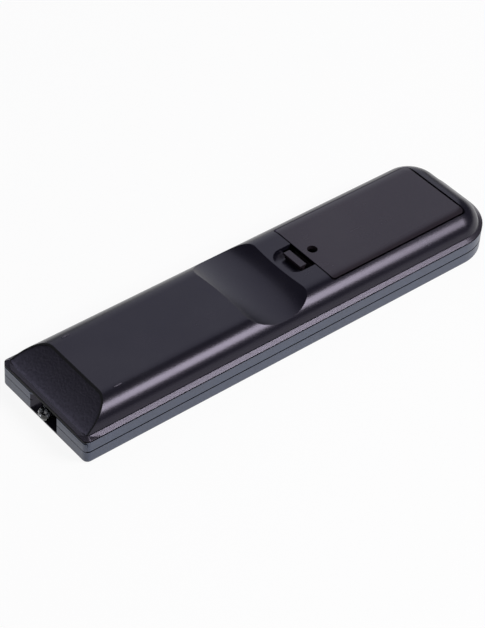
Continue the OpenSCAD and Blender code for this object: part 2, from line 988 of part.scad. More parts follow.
module contact_negative() {
    contact_plate(-cell_x, bay_y1 - contact_t, plate_w);
}

module contact_positive() {
    contact_plate(cell_x, bay_y1 - contact_t, plate_w);
}

// Plan of a key, grown by a distance
module key_plan(k, grow) {
    w = k[4];
    l = k[5] + 2 * grow;
    if (k[1] == "round")
        circle(d = l);
    if (k[1] == "pill") {
        square([w - k[5], l], center = true);
        for (s = [-1, 1])
            translate([s * (w - k[5]) / 2, 0])
                circle(d = l);
    }
    if (k[1] == "sector")
        rotate(w)
            intersection() {
                difference() {
                    circle(ring_r + grow);
                    circle(ring_in - grow);
                }
                translate([0, (spoke / 2 - grow) * sqrt(2)])
                    rotate(45)
                        square(2 * ring_r);
            }
}

// A key: crowned cap, flange behind the plate, and plunger
module key(k) {
    reach = (k[1] == "sector" ? k[5] : max(k[4], k[5])) / 2;
    crown_r = (pow(reach, 2) + pow(key_crown, 2)) / (2 * key_crown);
    mid = k[1] == "sector" ? (ring_r + ring_in) / 2 : 0;
    turn = k[1] == "sector" ? k[4] : 0;
    color(k[6])
        translate([k[2], nose_y + k[3], 0]) {
            intersection() {
                translate([0, 0, key_tip_z - 1])
                    linear_extrude(flange_z - key_tip_z + 1 + weld)
                        key_plan(k, 0);
                translate([0, 0, key_tip_z])
                    rotate_extrude()
                        intersection() {
                            translate([0, crown_r])
                                circle(crown_r, $fn = 720);
                            square([2 * reach, field_z + flange_t]);
                        }
            }
            translate([0, 0, flange_z])
                linear_extrude(flange_t)
                    key_plan(k, key_gap + key_flange);
            rotate(turn)
                translate([0, mid, flange_z + flange_t - weld])
                    cylinder(d = plunger_d, h = plunger_z - flange_z - flange_t + weld);
        }
}

// Holes in the mat for the plungers
module plunger_holes() {
    for (k = KEYS)
        translate([k[2], nose_y + k[3], mat_z - 1])
            rotate(k[1] == "sector" ? k[4] : 0)
                translate([0, k[1] == "sector" ? (ring_r + ring_in) / 2 : 0, 0])
                    cylinder(d = plunger_d + 2 * plunger_gap, h = mat_t + 2);
}

module key_mat() {
    w = body_w - 2 * (rail_in + rail_gap);
    color("#8d9096")
        difference() {
            translate([-w / 2, nose_y + mat_start, mat_z])
                cube([w, board_end - mat_start, mat_t]);
            plunger_holes();
            translate([0, nose_y + top_row, mat_z - 1])
                cylinder(d = indicator_d + 2 * indicator_gap, h = mat_t + 2);
        }
}

module circuit_board() {
    w = body_w - 2 * board_in;
    color("#2f6b3f")
        difference() {
            translate([-w / 2, nose_y + board_start, board_z])
                cube([w, board_end - board_start, board_t]);
            for (s = [-1, 1])
                translate([s * lead_pitch / 2, led_base_y + lead_run, board_z - 1])
                    cylinder(d = lead_hole, h = board_t + 2);
        }
}

// Chip on a row of flat legs along each side
module controller_chip() {
    color("#1d1d20")
        translate([0, nose_y + chip_y, board_top]) {
            translate([-chip[0] / 2, -chip[1] / 2, chip_leg_t])
                cube(chip);
            for (s = [-1, 1])
                for (i = [1:chip_legs])
                    translate([s * chip[0] / 2, (i - (chip_legs + 1) / 2) * chip_pitch, 0])
                        translate([-chip_leg_l, -chip_leg_w / 2, 0])
                            cube([2 * chip_leg_l, chip_leg_w, chip_leg_t + weld]);
        }
}

module resonator() {
    color("#c9962f")
        translate([resonator_x - resonator_size[0] / 2, nose_y + resonator_y, board_top])
            cube(resonator_size);
}

module capacitor() {
    color("#2a3a63")
        translate([can_x, nose_y + can_y, board_top + can_d / 2])
            rotate([-90, 0, 0])
                cylinder(d = can_d, h = can_l);
}

module driver_transistor() {
    color("#1d1d20")
        translate([top_x / 2, nose_y + transistor_y, board_top])
            difference() {
                cylinder(d = transistor_d, h = transistor_h);
                translate([-transistor_d, transistor_d / 4, -1])
                    cube([2 * transistor_d, transistor_d, transistor_h + 2]);
            }
}

module resistors() {
    color("#b89b6a")
        for (i = [0:3])
            translate([(i - 1.5) * resistor_pitch, nose_y + resistor_y, board_top + resistor_d / 2])
                rotate([-90, 0, 0])
                    cylinder(d = resistor_d, h = resistor_l);
}

// Clear emitter with its dome past the nose
module ir_emitter() {
    color("#dfe6ea")
        translate([0, led_dome_y, led_z])
            rotate([-90, 0, 0]) {
                sphere(d = led_d);
                cylinder(d = led_d, h = led_body_l);
                translate([0, 0, led_body_l - led_rim_l])
                    cylinder(d = led_d + 2 * led_rim, h = led_rim_l);
            }
}

// Two leads bent up through the board
module emitter_leads() {
    color(metal_colour)
        for (s = [-1, 1])
            translate([s * lead_pitch / 2 - lead_t / 2, led_base_y, led_z - lead_t / 2]) {
                cube([lead_t, lead_run + lead_t / 2, lead_t]);
                translate([0, lead_run - lead_t / 2, 0])
                    cube([lead_t, lead_t, board_top + lead_tail - led_z]);
            }
}

module indicator_lamp() {
    color("#8f2020")
        translate([0, nose_y + top_row, key_tip_z + field_d / 2 + indicator_d / 2]) {
            sphere(d = indicator_d);
            cylinder(d = indicator_d, h = board_z - key_tip_z - field_d / 2 - indicator_d / 2);
        }
}

module case_screws() {
    head_z = ledge_z - screw_head_h;
    color(metal_colour)
        for (s = [-1, 1])
            translate([s * screw_x, screw_y, head_z])
                difference() {
                    union() {
                        cylinder(d = screw_head_d, h = screw_head_h);
                        translate([0, 0, plate_t + 1 - head_z])
                            cylinder(d = screw_d, h = head_z - plate_t - 1 + weld);
                    }
                    for (a = [0, 90])
                        rotate(a)
                            translate([-screw_d / 2 - slot_w / 2, -slot_w / 2, screw_head_h - slot_w])
                                cube([screw_d + slot_w, slot_w, slot_w + 1]);
                }
}

back_case();
front_case();
battery_door();
door_latch();
battery_left();
battery_right();
spring_left();
spring_right();
contact_bridge();
contact_negative();
contact_positive();
circuit_board();
key_mat();
controller_chip();
resonator();
capacitor();
driver_transistor();
resistors();
ir_emitter();
emitter_leads();
indicator_lamp();
case_screws();
for (k = KEYS) key(k);
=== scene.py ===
"""Universal remote control lying face down: finishes, printed marks, cells, springs, emitter and studio."""

import json
import math

import bmesh
import bpy
from bpy.props import FloatProperty, FloatVectorProperty, PointerProperty
from mathutils import Matrix, Vector
from mathutils.bvhtree import BVHTree

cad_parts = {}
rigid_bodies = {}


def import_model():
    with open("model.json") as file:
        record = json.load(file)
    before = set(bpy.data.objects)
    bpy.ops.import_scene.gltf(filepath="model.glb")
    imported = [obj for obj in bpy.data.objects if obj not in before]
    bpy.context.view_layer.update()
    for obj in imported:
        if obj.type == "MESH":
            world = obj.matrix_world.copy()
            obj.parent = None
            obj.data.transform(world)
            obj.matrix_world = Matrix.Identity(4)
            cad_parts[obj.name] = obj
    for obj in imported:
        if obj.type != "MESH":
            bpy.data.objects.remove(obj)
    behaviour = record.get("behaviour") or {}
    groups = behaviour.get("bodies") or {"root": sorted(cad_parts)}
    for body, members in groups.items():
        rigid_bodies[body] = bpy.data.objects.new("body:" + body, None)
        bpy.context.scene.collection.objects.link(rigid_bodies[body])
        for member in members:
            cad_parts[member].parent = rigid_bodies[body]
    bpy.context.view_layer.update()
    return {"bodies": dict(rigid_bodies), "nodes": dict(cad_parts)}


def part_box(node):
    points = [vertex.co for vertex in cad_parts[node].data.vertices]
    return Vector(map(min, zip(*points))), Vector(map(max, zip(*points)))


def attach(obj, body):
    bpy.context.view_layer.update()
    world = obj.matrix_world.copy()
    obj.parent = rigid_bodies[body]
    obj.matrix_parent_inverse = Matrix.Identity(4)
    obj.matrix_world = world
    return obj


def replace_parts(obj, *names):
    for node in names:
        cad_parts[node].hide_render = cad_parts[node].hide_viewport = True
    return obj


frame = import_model()

bl_info = {
    "name": "Remote Control Dresser",
    "version": (1, 0, 0),
    "blender": (4, 5, 0),
    "location": "View3D > Sidebar > Remote",
    "description": "Finishes, printed marks, cells, springs, emitter and studio of a remote control",
    "category": "Object",
}

MM = 0.001
RIGHT = Vector((1, 0, 0))
ALONG = Vector((0, 1, 0))
UP = Vector((0, 0, 1))
WHITE = (1.0, 1.0, 1.0, 1.0)
# Black of the painted shade along the battery door's seam
SEAM_SHADE_BLACK = (0.001, 0.001, 0.001, 1.0)
DUST_GREY = (0.3, 0.29, 0.28, 1.0)
TIN_GREY = (0.55, 0.55, 0.53, 1.0)
BARE_FOIL = (0.6, 0.6, 0.58, 1.0)

# Places of the finishes in the slots of the back case
BODY, LIT_BAND, SLOPE, SHOULDER_HIGHLIGHT, SHADE_BLACK, LIP_HIGHLIGHT = range(6)

# Places on the case that its finishes and the pieces at the nose follow
SKIN_DEPTH = 0.0022 * MM
DOOR_LENGTH = 62 * MM
DOOR_CORNER = 1.5 * MM
SEAM_DEPTH = 4 * MM
PARTING_LINE = 4.9 * MM
PARTING_HALF = 0.26 * MM
NOSE_BAND_TOP = 7.1 * MM
SIDE_BAND_TOP = 9 * MM
NOTCH_HALF = 7.25 * MM
NOTCH_INSIDE = 7.2 * MM
NOTCH_REAR = -80 * MM
SHOULDER_FOOT = 9.5 * MM
SHOULDER_TOP = 10.45 * MM
PANEL_SINK = 0.1 * MM
RIM_FOOT = 10.2 * MM
LIP_REACH = 1.2 * MM
LIP_FOOT = 8.5 * MM
LIP_TOP = 10 * MM
NOSE_CORNER = 2 * MM
BROW_CORNER = 6.5 * MM

# Closed profiles at the nose, as (inset, height)
BAND_EDGE = ((0, 7 * MM), (0, 8 * MM), (0.9 * MM, 8 * MM), (0.9 * MM, 7 * MM))
SHOULDER_EDGE = (
    (0, 8.5 * MM), (0, 9 * MM), (0.6 * MM, 9 * MM), (0.6 * MM, 9.55 * MM), (0, 9.55 * MM),
    (1.45 * MM, 10.4 * MM), (1.9 * MM, 10.4 * MM), (1.9 * MM, 8.5 * MM),
)

# Springs, cells and emitter
COIL_TURNS = 4
COIL_STEPS = 144
COIL_TAPER = 0.06
CLOSED_SHARE = 0.12
CELL_SIDES = 64
CELL_MARK_SCALE = 1.3
LEAD_HALF = 0.25 * MM
CUP_DEPTH = 2.6 * MM
CUP_SHIFT = 0.35 * MM

# Studio
LAMP_AWAY = 1.5
FLOOR_HALF = 6.0
FLOOR_DROP = 0.05 * MM
FLOOR_GLOW = 0.9
SENSOR_WIDTH = 36.0


# Settings that a user would change

def colour_setting(name, description, default):
    """A colour with a swatch."""
    return FloatVectorProperty(
        name=name, description=description, default=default, subtype="COLOR", size=3, min=0, max=1
    )


def share_setting(name, description, default):
    """A share from 0 to 1."""
    return FloatProperty(
        name=name, description=description, default=default, subtype="FACTOR", min=0, max=1
    )


def length_setting(name, description, default):
    """A length in metres."""
    return FloatProperty(
        name=name, description=description, default=default, unit="LENGTH", min=0, precision=5
    )


def angle_setting(name, description, degrees):
    """An angle, given in degrees."""
    return FloatProperty(
        name=name, description=description, default=math.radians(degrees), subtype="ANGLE"
    )


def brightness_setting(name, description, default):
    """How bright the face of a lamp is, where 1 shows as white."""
    return FloatProperty(name=name, description=description, default=default, min=0)


class CaseSettings(bpy.types.PropertyGroup):
    """Plastic of the two shells, the battery door and its latch"""

    colour: colour_setting("Plastic", "Colour of the case plastic", (0.0055, 0.005, 0.0095))
    gloss: share_setting("Roughness", "Roughness of the case plastic", 0.26)
    sheen: colour_setting("Sheen", "Tint of the reflections in the case plastic", (0.87, 0.8, 1.0))
    # Painted reflection: a paler blue-grey for the upright sides, standing in for the bright floor they
    # reflect
    lit_band_colour: colour_setting("Side bands", "Colour of the satin bands", (0.038, 0.049, 0.085))
    band_gloss: share_setting("Band roughness", "Roughness of the satin bands", 0.34)
    grain: length_setting("Grain", "Size of the moulded skin's pits", 0.22 * MM)
    door_colour: colour_setting("Door", "Colour of the battery door and its latch", (0.0165, 0.0125, 0.0165))
    # Painted highlight: a paler colour than the case plastic, for the shoulder of the same moulding
    shoulder_highlight_colour: colour_setting("Shoulder", "Colour of the shoulder round the hump", (0.02, 0.018, 0.024))
    panel_colour: colour_setting("Slope panel", "Colour of the grained panel", (0.0046, 0.0042, 0.0078))
    panel_gloss: share_setting("Slope roughness", "Roughness of the grained panel", 0.42)
    panel_grain: length_setting("Slope grain", "Size of the grain on the slope panel", 0.8 * MM)
    mottle: share_setting("Slope mottle", "How far the slope's grain shows as paler specks", 0.8)
    # Painted shade: the width of the dark line painted each side of the door's seam
    seam: length_setting("Painted seam shade", "Width of the dark line at each side of the door's seam", 0.28 * MM)
    # Painted highlight: a paler colour for the rounded lip below the slope, where its edge catches the light
    lip_highlight_colour: colour_setting("Nose lip", "Colour of the rubbed lip below the slope", (0.03, 0.028, 0.036))
    wear: share_setting("Edge wear", "How far rubbed edges turn paler", 0.15)
    dust: share_setting("Dust", "Dust that lies on the top faces", 0.05)


class KeySettings(bpy.types.PropertyGroup):
    """Keys and their printed marks"""

    dark: colour_setting("Dark keys", "Colour of most keys", (0.08, 0.08, 0.09))
    light: colour_setting("Light keys", "Colour of the device keys and the centre key", (0.2, 0.2, 0.22))
    red: colour_setting("Red keys", "Colour of the power key and the red key", (0.5, 0.03, 0.03))
    green: colour_setting("Green key", "Colour of the green key", (0.03, 0.28, 0.07))
    yellow: colour_setting("Yellow key", "Colour of the yellow key", (0.7, 0.45, 0.04))
    blue: colour_setting("Blue key", "Colour of the blue key", (0.03, 0.1, 0.42))
    mark: colour_setting("Marks", "Colour of the printed marks", (0.75, 0.75, 0.72))
    mark_height: length_setting("Mark height", "Height of a printed digit", 2.7 * MM)
    mark_lift: length_setting("Mark lift", "How far a printed mark stands above its key", 0.03 * MM)


class CellSettings(bpy.types.PropertyGroup):
    """Cells, springs and contacts"""

    jacket: colour_setting("Jacket", "Colour of the cell jacket", (0.1, 0.27, 0.14))
    band: colour_setting("Band", "Colour of the band at the jacket's flat end", (0.55, 0.56, 0.55))
    nickel: colour_setting("Nickel", "Colour of nickel plate", (0.62, 0.61, 0.58))
    zinc: colour_setting("Zinc", "Colour of zinc plate", (0.38, 0.39, 0.4))
    wire: length_setting("Spring wire", "Thickness of the spring wire", 0.6 * MM)


class BoardSettings(bpy.types.PropertyGroup):
    """Circuit board, key mat and the parts on the board"""

    resist: colour_setting("Solder resist", "Colour of the circuit board", (0.035, 0.2, 0.075))
    track: colour_setting("Tracks", "Colour of copper under the resist", (0.1, 0.36, 0.14))
    mat: colour_setting("Key mat", "Colour of the silicone mat", (0.25, 0.26, 0.28))
    resin: colour_setting("Chip resin", "Colour of moulded chips", (0.02, 0.02, 0.021))
    amber: colour_setting("Resonator", "Colour of the resonator's dip", (0.55, 0.3, 0.05))
    sleeve: colour_setting("Capacitor", "Colour of the capacitor's sleeve", (0.04, 0.07, 0.22))
    resistor: colour_setting("Resistors", "Colour of the resistor bodies", (0.5, 0.38, 0.2))
    # Painted shade: a grey tint that darkens the emitter's clear epoxy
    epoxy: colour_setting("Emitter", "Colour of the emitter's clear epoxy", (0.36, 0.38, 0.42))
    lamp: colour_setting("Indicator", "Colour of the indicator lamp", (0.5, 0.03, 0.03))


class StudioSettings(bpy.types.PropertyGroup):
    """Camera, lamps and floor"""

    azimuth: angle_setting("Azimuth", "Turn of the camera round the remote", 47.63)
    elevation: angle_setting("Elevation", "Height of the camera above the floor", 42.25)
    roll: angle_setting("Roll", "Turn of the camera about its own line of sight", 4.47)
    distance: length_setting("Distance", "Camera to its target", 0.72781)
    target: FloatVectorProperty(
        name="Target", description="Point that the camera looks at",
        default=(-2.13 * MM, -5.86 * MM, 0.7 * MM), subtype="XYZ", unit="LENGTH"
    )
    lens: FloatProperty(
        name="Lens", description="Focal length in millimetres", default=122.55, subtype="DISTANCE_CAMERA"
    )
    panel: brightness_setting("Wall panel", "Brightness of the tall panel", 0.9)
    softbox: brightness_setting("Softbox", "Brightness of the softbox", 14.0)
    fill: brightness_setting("Fill panel", "Brightness of the low panel at the nose", 0.8)
    front: brightness_setting("Front panel", "Brightness of the panel over the camera", 1.8)
    panel_tint: colour_setting("Panel tint", "Light of the wall and fill panels", (0.88, 0.91, 1.0))
    softbox_tint: colour_setting("Softbox tint", "Light of the softbox and front panel", (1.0, 0.98, 0.99))
    floor: colour_setting("Floor", "Colour of the floor", (0.9, 0.9, 0.9))
    sky: colour_setting("Room", "Colour of the dim room", (0.06, 0.06, 0.07))


# Node helpers

def put(tree, kind, inputs=None, **settings):
    """Adds a node. A socket among the inputs is linked, and a plain value is set."""
    node = tree.nodes.new(kind)
    for name, value in settings.items():
        setattr(node, name, value)
    for key, value in (inputs or {}).items():
        if isinstance(value, bpy.types.NodeSocket):
            tree.links.new(value, node.inputs[key])
        else:
            node.inputs[key].default_value = value
    return node


def sums(tree, operation, a, b):
    """One step of arithmetic."""
    return put(tree, "ShaderNodeMath", {0: a, 1: b}, operation=operation).outputs[0]


def spread(tree, value, low, high, to_low=0.0, to_high=1.0):
    """Stretches a value from one range to another."""
    return put(
        tree, "ShaderNodeMapRange",
        {"Value": value, "From Min": low, "From Max": high, "To Min": to_low, "To Max": to_high},
    ).outputs[0]


def tinted(tree, share, a, b):
    """Mixes two colours."""
    return put(tree, "ShaderNodeMix", {0: share, 6: a, 7: b}, data_type="RGBA").outputs[2]


def rgba(colour, factor=1.0):
    """A colour with its fourth channel, made darker or paler by a factor."""
    return (*[min(1.0, c * factor) for c in colour], 1.0)


def effect(name, inputs, outputs):
    """An empty shader node group with value sockets."""
    tree = bpy.data.node_groups.new(name, "ShaderNodeTree")
    for label, default in inputs.items():
        socket = tree.interface.new_socket(label, in_out="INPUT", socket_type="NodeSocketFloat")
        socket.default_value = default
    for label in outputs:
        tree.interface.new_socket(label, in_out="OUTPUT", socket_type="NodeSocketFloat")
    return tree, tree.nodes.new("NodeGroupInput"), tree.nodes.new("NodeGroupOutput")


def surface_place(tree):
    """Where a point of the surface lies, in metres."""
    return put(tree, "ShaderNodeTexCoord").outputs["Object"]


def noise(tree, place, scale, detail, distortion=0.0):
    """Soft noise from 0 to 1."""
    sockets = {"Vector": place, "Scale": scale, "Detail": detail, "Distortion": distortion}
    return put(tree, "ShaderNodeTexNoise", sockets).outputs["Fac"]


def make_moulded_grain():
    """Pits and fine ripple of a moulded skin. Size is in metres."""
    tree, given, out = effect("Moulded grain", {"Size": 0.2 * MM}, ["Height"])
    place = surface_place(tree)
    rate = sums(tree, "DIVIDE", 1.0, given.outputs["Size"])
    pits = put(tree, "ShaderNodeTexVoronoi", {"Vector": place, "Scale": rate}, feature="SMOOTH_F1")
    height = sums(tree, "ADD", pits.outputs["Distance"], noise(tree, place, rate, 3.0))
    tree.links.new(height, out.inputs["Height"])


def make_worn_edges():
    """A broken line along convex edges. Radius is in metres."""
    tree, given, out = effect("Worn edges", {"Radius": 0.3 * MM, "Break Size": 2 * MM}, ["Mask"])
    place = surface_place(tree)
    rounded = put(tree, "ShaderNodeBevel", {"Radius": given.outputs["Radius"]}, samples=6)
    flat = put(tree, "ShaderNodeNewGeometry").outputs["Normal"]
    along = put(tree, "ShaderNodeVectorMath", {0: rounded.outputs[0], 1: flat}, operation="DOT_PRODUCT")
    edge = spread(tree, along.outputs["Value"], 0.99, 0.86)
    rate = sums(tree, "DIVIDE", 1.0, given.outputs["Break Size"])
    broken = spread(tree, noise(tree, place, rate, 4.0), 0.38, 0.62)
    tree.links.new(sums(tree, "MULTIPLY", edge, broken), out.inputs["Mask"])


def make_settled_dust():
    """Specks and a thin film on faces that look up. Size is in metres."""
    tree, given, out = effect("Settled dust", {"Size": 0.4 * MM, "Cover": 0.3}, ["Mask"])
    place = surface_place(tree)
    normal = put(tree, "ShaderNodeNewGeometry").outputs["Normal"]
    upright = put(tree, "ShaderNodeSeparateXYZ", {0: normal}).outputs["Z"]
    rate = sums(tree, "DIVIDE", 1.0, given.outputs["Size"])
    specks = spread(tree, noise(tree, place, rate, 2.0), 0.66, 0.78)
    film = spread(tree, noise(tree, place, 45.0, 5.0), 0.45, 0.75, 0.0, 0.35)
    both = sums(tree, "MAXIMUM", specks, film)
    lying = spread(tree, upright, 0.5, 0.95)
    covered = sums(tree, "MULTIPLY", sums(tree, "MULTIPLY", both, lying), given.outputs["Cover"])
    tree.links.new(covered, out.inputs["Mask"])


def make_handling():
    """Smudges of fingers and cloth, from 0 to 1. Size is in metres."""
    tree, given, out = effect("Handling", {"Size": 15 * MM}, ["Smudge"])
    place = surface_place(tree)
    rate = sums(tree, "DIVIDE", 1.0, given.outputs["Size"])
    blots = noise(tree, place, rate, 6.0, 0.6)
    drawn = put(tree, "ShaderNodeMapping", {"Vector": place, "Scale": (900.0, 70.0, 900.0)}).outputs[0]
    strokes = noise(tree, drawn, 1.0, 3.0)
    mixed = sums(tree, "ADD", blots, sums(tree, "MULTIPLY", strokes, 0.35))
    tree.links.new(spread(tree, mixed, 0.45, 0.9), out.inputs["Smudge"])


def make_nose_ramp():
    """Rises to 1 towards the nose. Reach is in metres."""
    tree, given, out = effect("Nose ramp", {"Reach": 14 * MM}, ["Mask"])
    place = surface_place(tree)
    along = put(tree, "ShaderNodeSeparateXYZ", {0: place}).outputs["Y"]
    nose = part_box("back_case")[0][1]
    away = sums(tree, "DIVIDE", sums(tree, "SUBTRACT", along, nose), given.outputs["Reach"])
    broad = sums(tree, "POWER", spread(tree, away, 0.85, 0.0), 2.0)
    tip = spread(tree, away, 0.19, 0.1, 0.0, 0.8)
    tree.links.new(sums(tree, "ADD", broad, tip), out.inputs["Mask"])


def make_seam_shade():
    """Painted shade: a dark line on both sides of the battery door's edge, where shade falls in the seam.
    Width is in metres.
    """
    tree, given, out = effect("Painted seam shade", {"Width": 0.25 * MM}, ["Mask"])
    low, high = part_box("battery_door")
    middle = (0.0, low[1] + DOOR_LENGTH / 2, high[2])
    straight = (high[0] - DOOR_CORNER, DOOR_LENGTH / 2 - DOOR_CORNER, SEAM_DEPTH)
    place = surface_place(tree)
    steps = (("SUBTRACT", middle), ("ABSOLUTE", middle), ("SUBTRACT", straight), ("MAXIMUM", (0, 0, 0)))
    for operation, other in steps:
        place = put(tree, "ShaderNodeVectorMath", {0: place, 1: other}, operation=operation).outputs[0]
    reach = put(tree, "ShaderNodeVectorMath", {0: place}, operation="LENGTH").outputs["Value"]
    apart = sums(tree, "ABSOLUTE", sums(tree, "SUBTRACT", reach, DOOR_CORNER), 0.0)
    away = sums(tree, "DIVIDE", apart, given.outputs["Width"])
    tree.links.new(spread(tree, away, 1.0, 0.6), out.inputs["Mask"])


def effect_node(tree, name, **values):
    """Places a shared effect in a material with its own values."""
    node = put(tree, "ShaderNodeGroup", node_tree=bpy.data.node_groups[name])
    for label, value in values.items():
        node.inputs[label.replace("_", " ")].default_value = value
    return node.outputs[0]


# Finishes

def new_finish(name):
    """A material and its Principled shader."""
    finish = bpy.data.materials.new(name)
    finish.use_nodes = True
    return finish, finish.node_tree, finish.node_tree.nodes["Principled BSDF"]


def join_up(tree, shader, colour, roughness, height, depth, strength=1.0):
    """Feeds a shader its colour, its roughness and a bump, whose depth is in metres."""
    bump = put(tree, "ShaderNodeBump", {"Strength": strength, "Distance": depth, "Height": height})
    tree.links.new(colour, shader.inputs["Base Color"])
    tree.links.new(roughness, shader.inputs["Roughness"])
    tree.links.new(bump.outputs[0], shader.inputs["Normal"])


def moulded_plastic(
    name, colour, roughness, grain, depth, wear=0.3, dust=0.0, ior=1.5, sheen=(1.0, 1.0, 1.0),
    mottle=0.0, seam=0.0
):
    """Moulded plastic: pitted skin, edges rubbed paler, smudges in the gloss, and dust on top.

    Mottle shows the pits as paler specks towards the nose. Seam is the width of the painted shade along the
    door's edge: a black line that also turns metallic, so that its reflection goes dark too.
    """
    finish, tree, shader = new_finish(name)
    rubbed = effect_node(tree, "Worn edges", Radius=0.25 * MM, Break_Size=3 * MM)
    smudge = effect_node(tree, "Handling", Size=14 * MM)
    skin = effect_node(tree, "Moulded grain", Size=grain)
    dusty = effect_node(tree, "Settled dust", Size=0.35 * MM, Cover=dust)
    seen = tinted(tree, smudge, rgba(colour, 0.95), rgba(colour, 1.06))
    if mottle > 0:
        nose_specks = sums(tree, "MULTIPLY", skin, effect_node(tree, "Nose ramp", Reach=14 * MM))
        specks = rgba([6 * c + 0.025 for c in colour])
        seen = tinted(tree, sums(tree, "MULTIPLY", nose_specks, mottle), seen, specks)
    seen = tinted(tree, sums(tree, "MULTIPLY", rubbed, wear), seen, rgba([c + 0.06 for c in colour]))
    seen = tinted(tree, dusty, seen, DUST_GREY)
    # Painted shade in the door's seam: black colour, and metallic so that the reflection there goes dark as
    # well
    if seam > 0:
        seam_shade = effect_node(tree, "Painted seam shade", Width=seam)
        seen = tinted(tree, seam_shade, seen, SEAM_SHADE_BLACK)
        tree.links.new(seam_shade, shader.inputs["Metallic"])
    gloss = spread(tree, smudge, 0.0, 1.0, roughness - 0.01, roughness + 0.015)
    dull = sums(tree, "ADD", gloss, sums(tree, "MULTIPLY", dusty, 0.1))
    join_up(tree, shader, seen, dull, skin, depth)
    shader.inputs["IOR"].default_value = ior
    shader.inputs["Specular Tint"].default_value = rgba(sheen)
    return finish


def plated_metal(name, colour, roughness, grain):
    """Plated metal: a fine drawn grain, stains and edges rubbed bright."""
    finish, tree, shader = new_finish(name)
    rubbed = effect_node(tree, "Worn edges", Radius=0.15 * MM, Break_Size=1 * MM)
    stain = effect_node(tree, "Handling", Size=4 * MM)
    skin = effect_node(tree, "Moulded grain", Size=grain)
    body = tinted(tree, stain, rgba(colour), rgba(colour, 0.72))
    seen = tinted(tree, sums(tree, "MULTIPLY", rubbed, 0.5), body, rgba(colour, 1.35))
    gloss = spread(tree, stain, 0.0, 1.0, roughness, roughness + 0.15)
    join_up(tree, shader, seen, gloss, skin, 0.002 * MM, 0.6)
    shader.inputs["Metallic"].default_value = 1.0
    return finish


def cast_epoxy(name, colour, clear):
    """Cast epoxy that light passes through, with faint flow marks."""
    finish, tree, shader = new_finish(name)
    flow = effect_node(tree, "Handling", Size=1.5 * MM)
    skin = effect_node(tree, "Moulded grain", Size=0.4 * MM)
    seen = tinted(tree, flow, rgba(colour), rgba(colour, 0.93))
    join_up(tree, shader, seen, spread(tree, flow, 0.0, 1.0, 0.02, 0.07), skin, 0.002 * MM, 0.3)
    shader.inputs["Transmission Weight"].default_value = clear
    shader.inputs["IOR"].default_value = 1.54
    return finish


def printed_board(name, resist, track):
    """Solder resist over copper tracks, with tinned pads."""
    finish, tree, shader = new_finish(name)
    place = surface_place(tree)
    runs = put(
        tree, "ShaderNodeTexBrick",
        {"Vector": place, "Scale": 260.0, "Mortar Size": 0.05, "Brick Width": 1.7, "Row Height": 0.45},
    )
    pads = put(tree, "ShaderNodeTexVoronoi", {"Vector": place, "Scale": 230.0})
    pad = spread(tree, pads.outputs["Distance"], 0.2, 0.16)
    skin = effect_node(tree, "Moulded grain", Size=0.3 * MM)
    smudge = effect_node(tree, "Handling", Size=8 * MM)
    weave = tinted(tree, smudge, rgba(resist), rgba(resist, 0.8))
    traced = tinted(tree, runs.outputs["Fac"], weave, rgba(track))
    seen = tinted(tree, pad, traced, TIN_GREY)
    height = sums(tree, "ADD", sums(tree, "MULTIPLY", skin, 0.15), runs.outputs["Fac"])
    join_up(tree, shader, seen, spread(tree, smudge, 0.0, 1.0, 0.25, 0.4), height, 0.03 * MM, 0.5)
    tree.links.new(pad, shader.inputs["Metallic"])
    return finish


def foil_jacket(name, jacket, band, length):
    """Printed foil round a cell, with a pale band at its flat end and a seam of fine rub marks."""
    finish, tree, shader = new_finish(name)
    place = surface_place(tree)
    along = put(tree, "ShaderNodeSeparateXYZ", {0: place}).outputs["Y"]
    smudge = effect_node(tree, "Handling", Size=6 * MM)
    skin = effect_node(tree, "Moulded grain", Size=0.25 * MM)
    rubbed = effect_node(tree, "Worn edges", Radius=0.3 * MM, Break_Size=1.5 * MM)
    printed = spread(tree, along, 0.74 * length, 0.745 * length)
    line_on = sums(tree, "COMPARE", along, 0.715 * length)
    line_on.node.inputs[2].default_value = 0.006 * length
    body = tinted(tree, smudge, rgba(jacket), rgba(jacket, 0.75))
    banded = tinted(tree, printed, body, rgba(band))
    lined = tinted(tree, line_on, banded, rgba(band))
    seen = tinted(tree, sums(tree, "MULTIPLY", rubbed, 0.4), lined, BARE_FOIL)
    join_up(tree, shader, seen, spread(tree, smudge, 0.0, 1.0, 0.28, 0.42), skin, 0.004 * MM, 0.4)
    shader.inputs["Metallic"].default_value = 0.55
    return finish


def dress(node, *finishes):
    """Gives a CAD node its finishes, the first on every face."""
    mesh = frame["nodes"][node].data
    mesh.materials.clear()
    for finish in finishes:
        mesh.materials.append(finish)
    mesh.polygons.foreach_set("material_index", [0] * len(mesh.polygons))
    return mesh


def paint(mesh, place, wanted):
    """Gives the finish at a place in a mesh's slots to the faces that are wanted."""
    for polygon in mesh.polygons:
        if wanted(polygon):
            polygon.material_index = place


# Mesh helpers

def box_of(node):
    """The lowest and the highest corner of a CAD node."""
    return [Vector(corner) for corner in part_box(node)]


def faces_slope(polygon):
    """Whether a face of the back looks the way the sloped nose does."""
    return polygon.normal.y < -0.45 and polygon.normal.z > 0.8


def slope_plane(mesh):
    """Normal of the sloped nose and the height of its rim along that normal."""
    sloped = [p for p in mesh.polygons if faces_slope(p)]
    rim = max(sloped, key=lambda p: p.normal.dot(p.center))
    return rim.normal.copy(), rim.normal.dot(rim.center)


def add_piece(name, builder, finish, body, crease=35.0, place=None):
    """Turns a bmesh into a named piece, sets it in its place and hangs it on a body."""
    bmesh.ops.recalc_face_normals(builder, faces=builder.faces)
    mesh = bpy.data.meshes.new(name)
    builder.to_mesh(mesh)
    builder.free()
    for polygon in mesh.polygons:
        polygon.use_smooth = True
    mesh.set_sharp_from_angle(angle=math.radians(crease))
    mesh.materials.append(finish)
    piece = bpy.data.objects.new(name, mesh)
    bpy.context.scene.collection.objects.link(piece)
    if place is not None:
        piece.matrix_world = place
    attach(piece, body)
    return piece


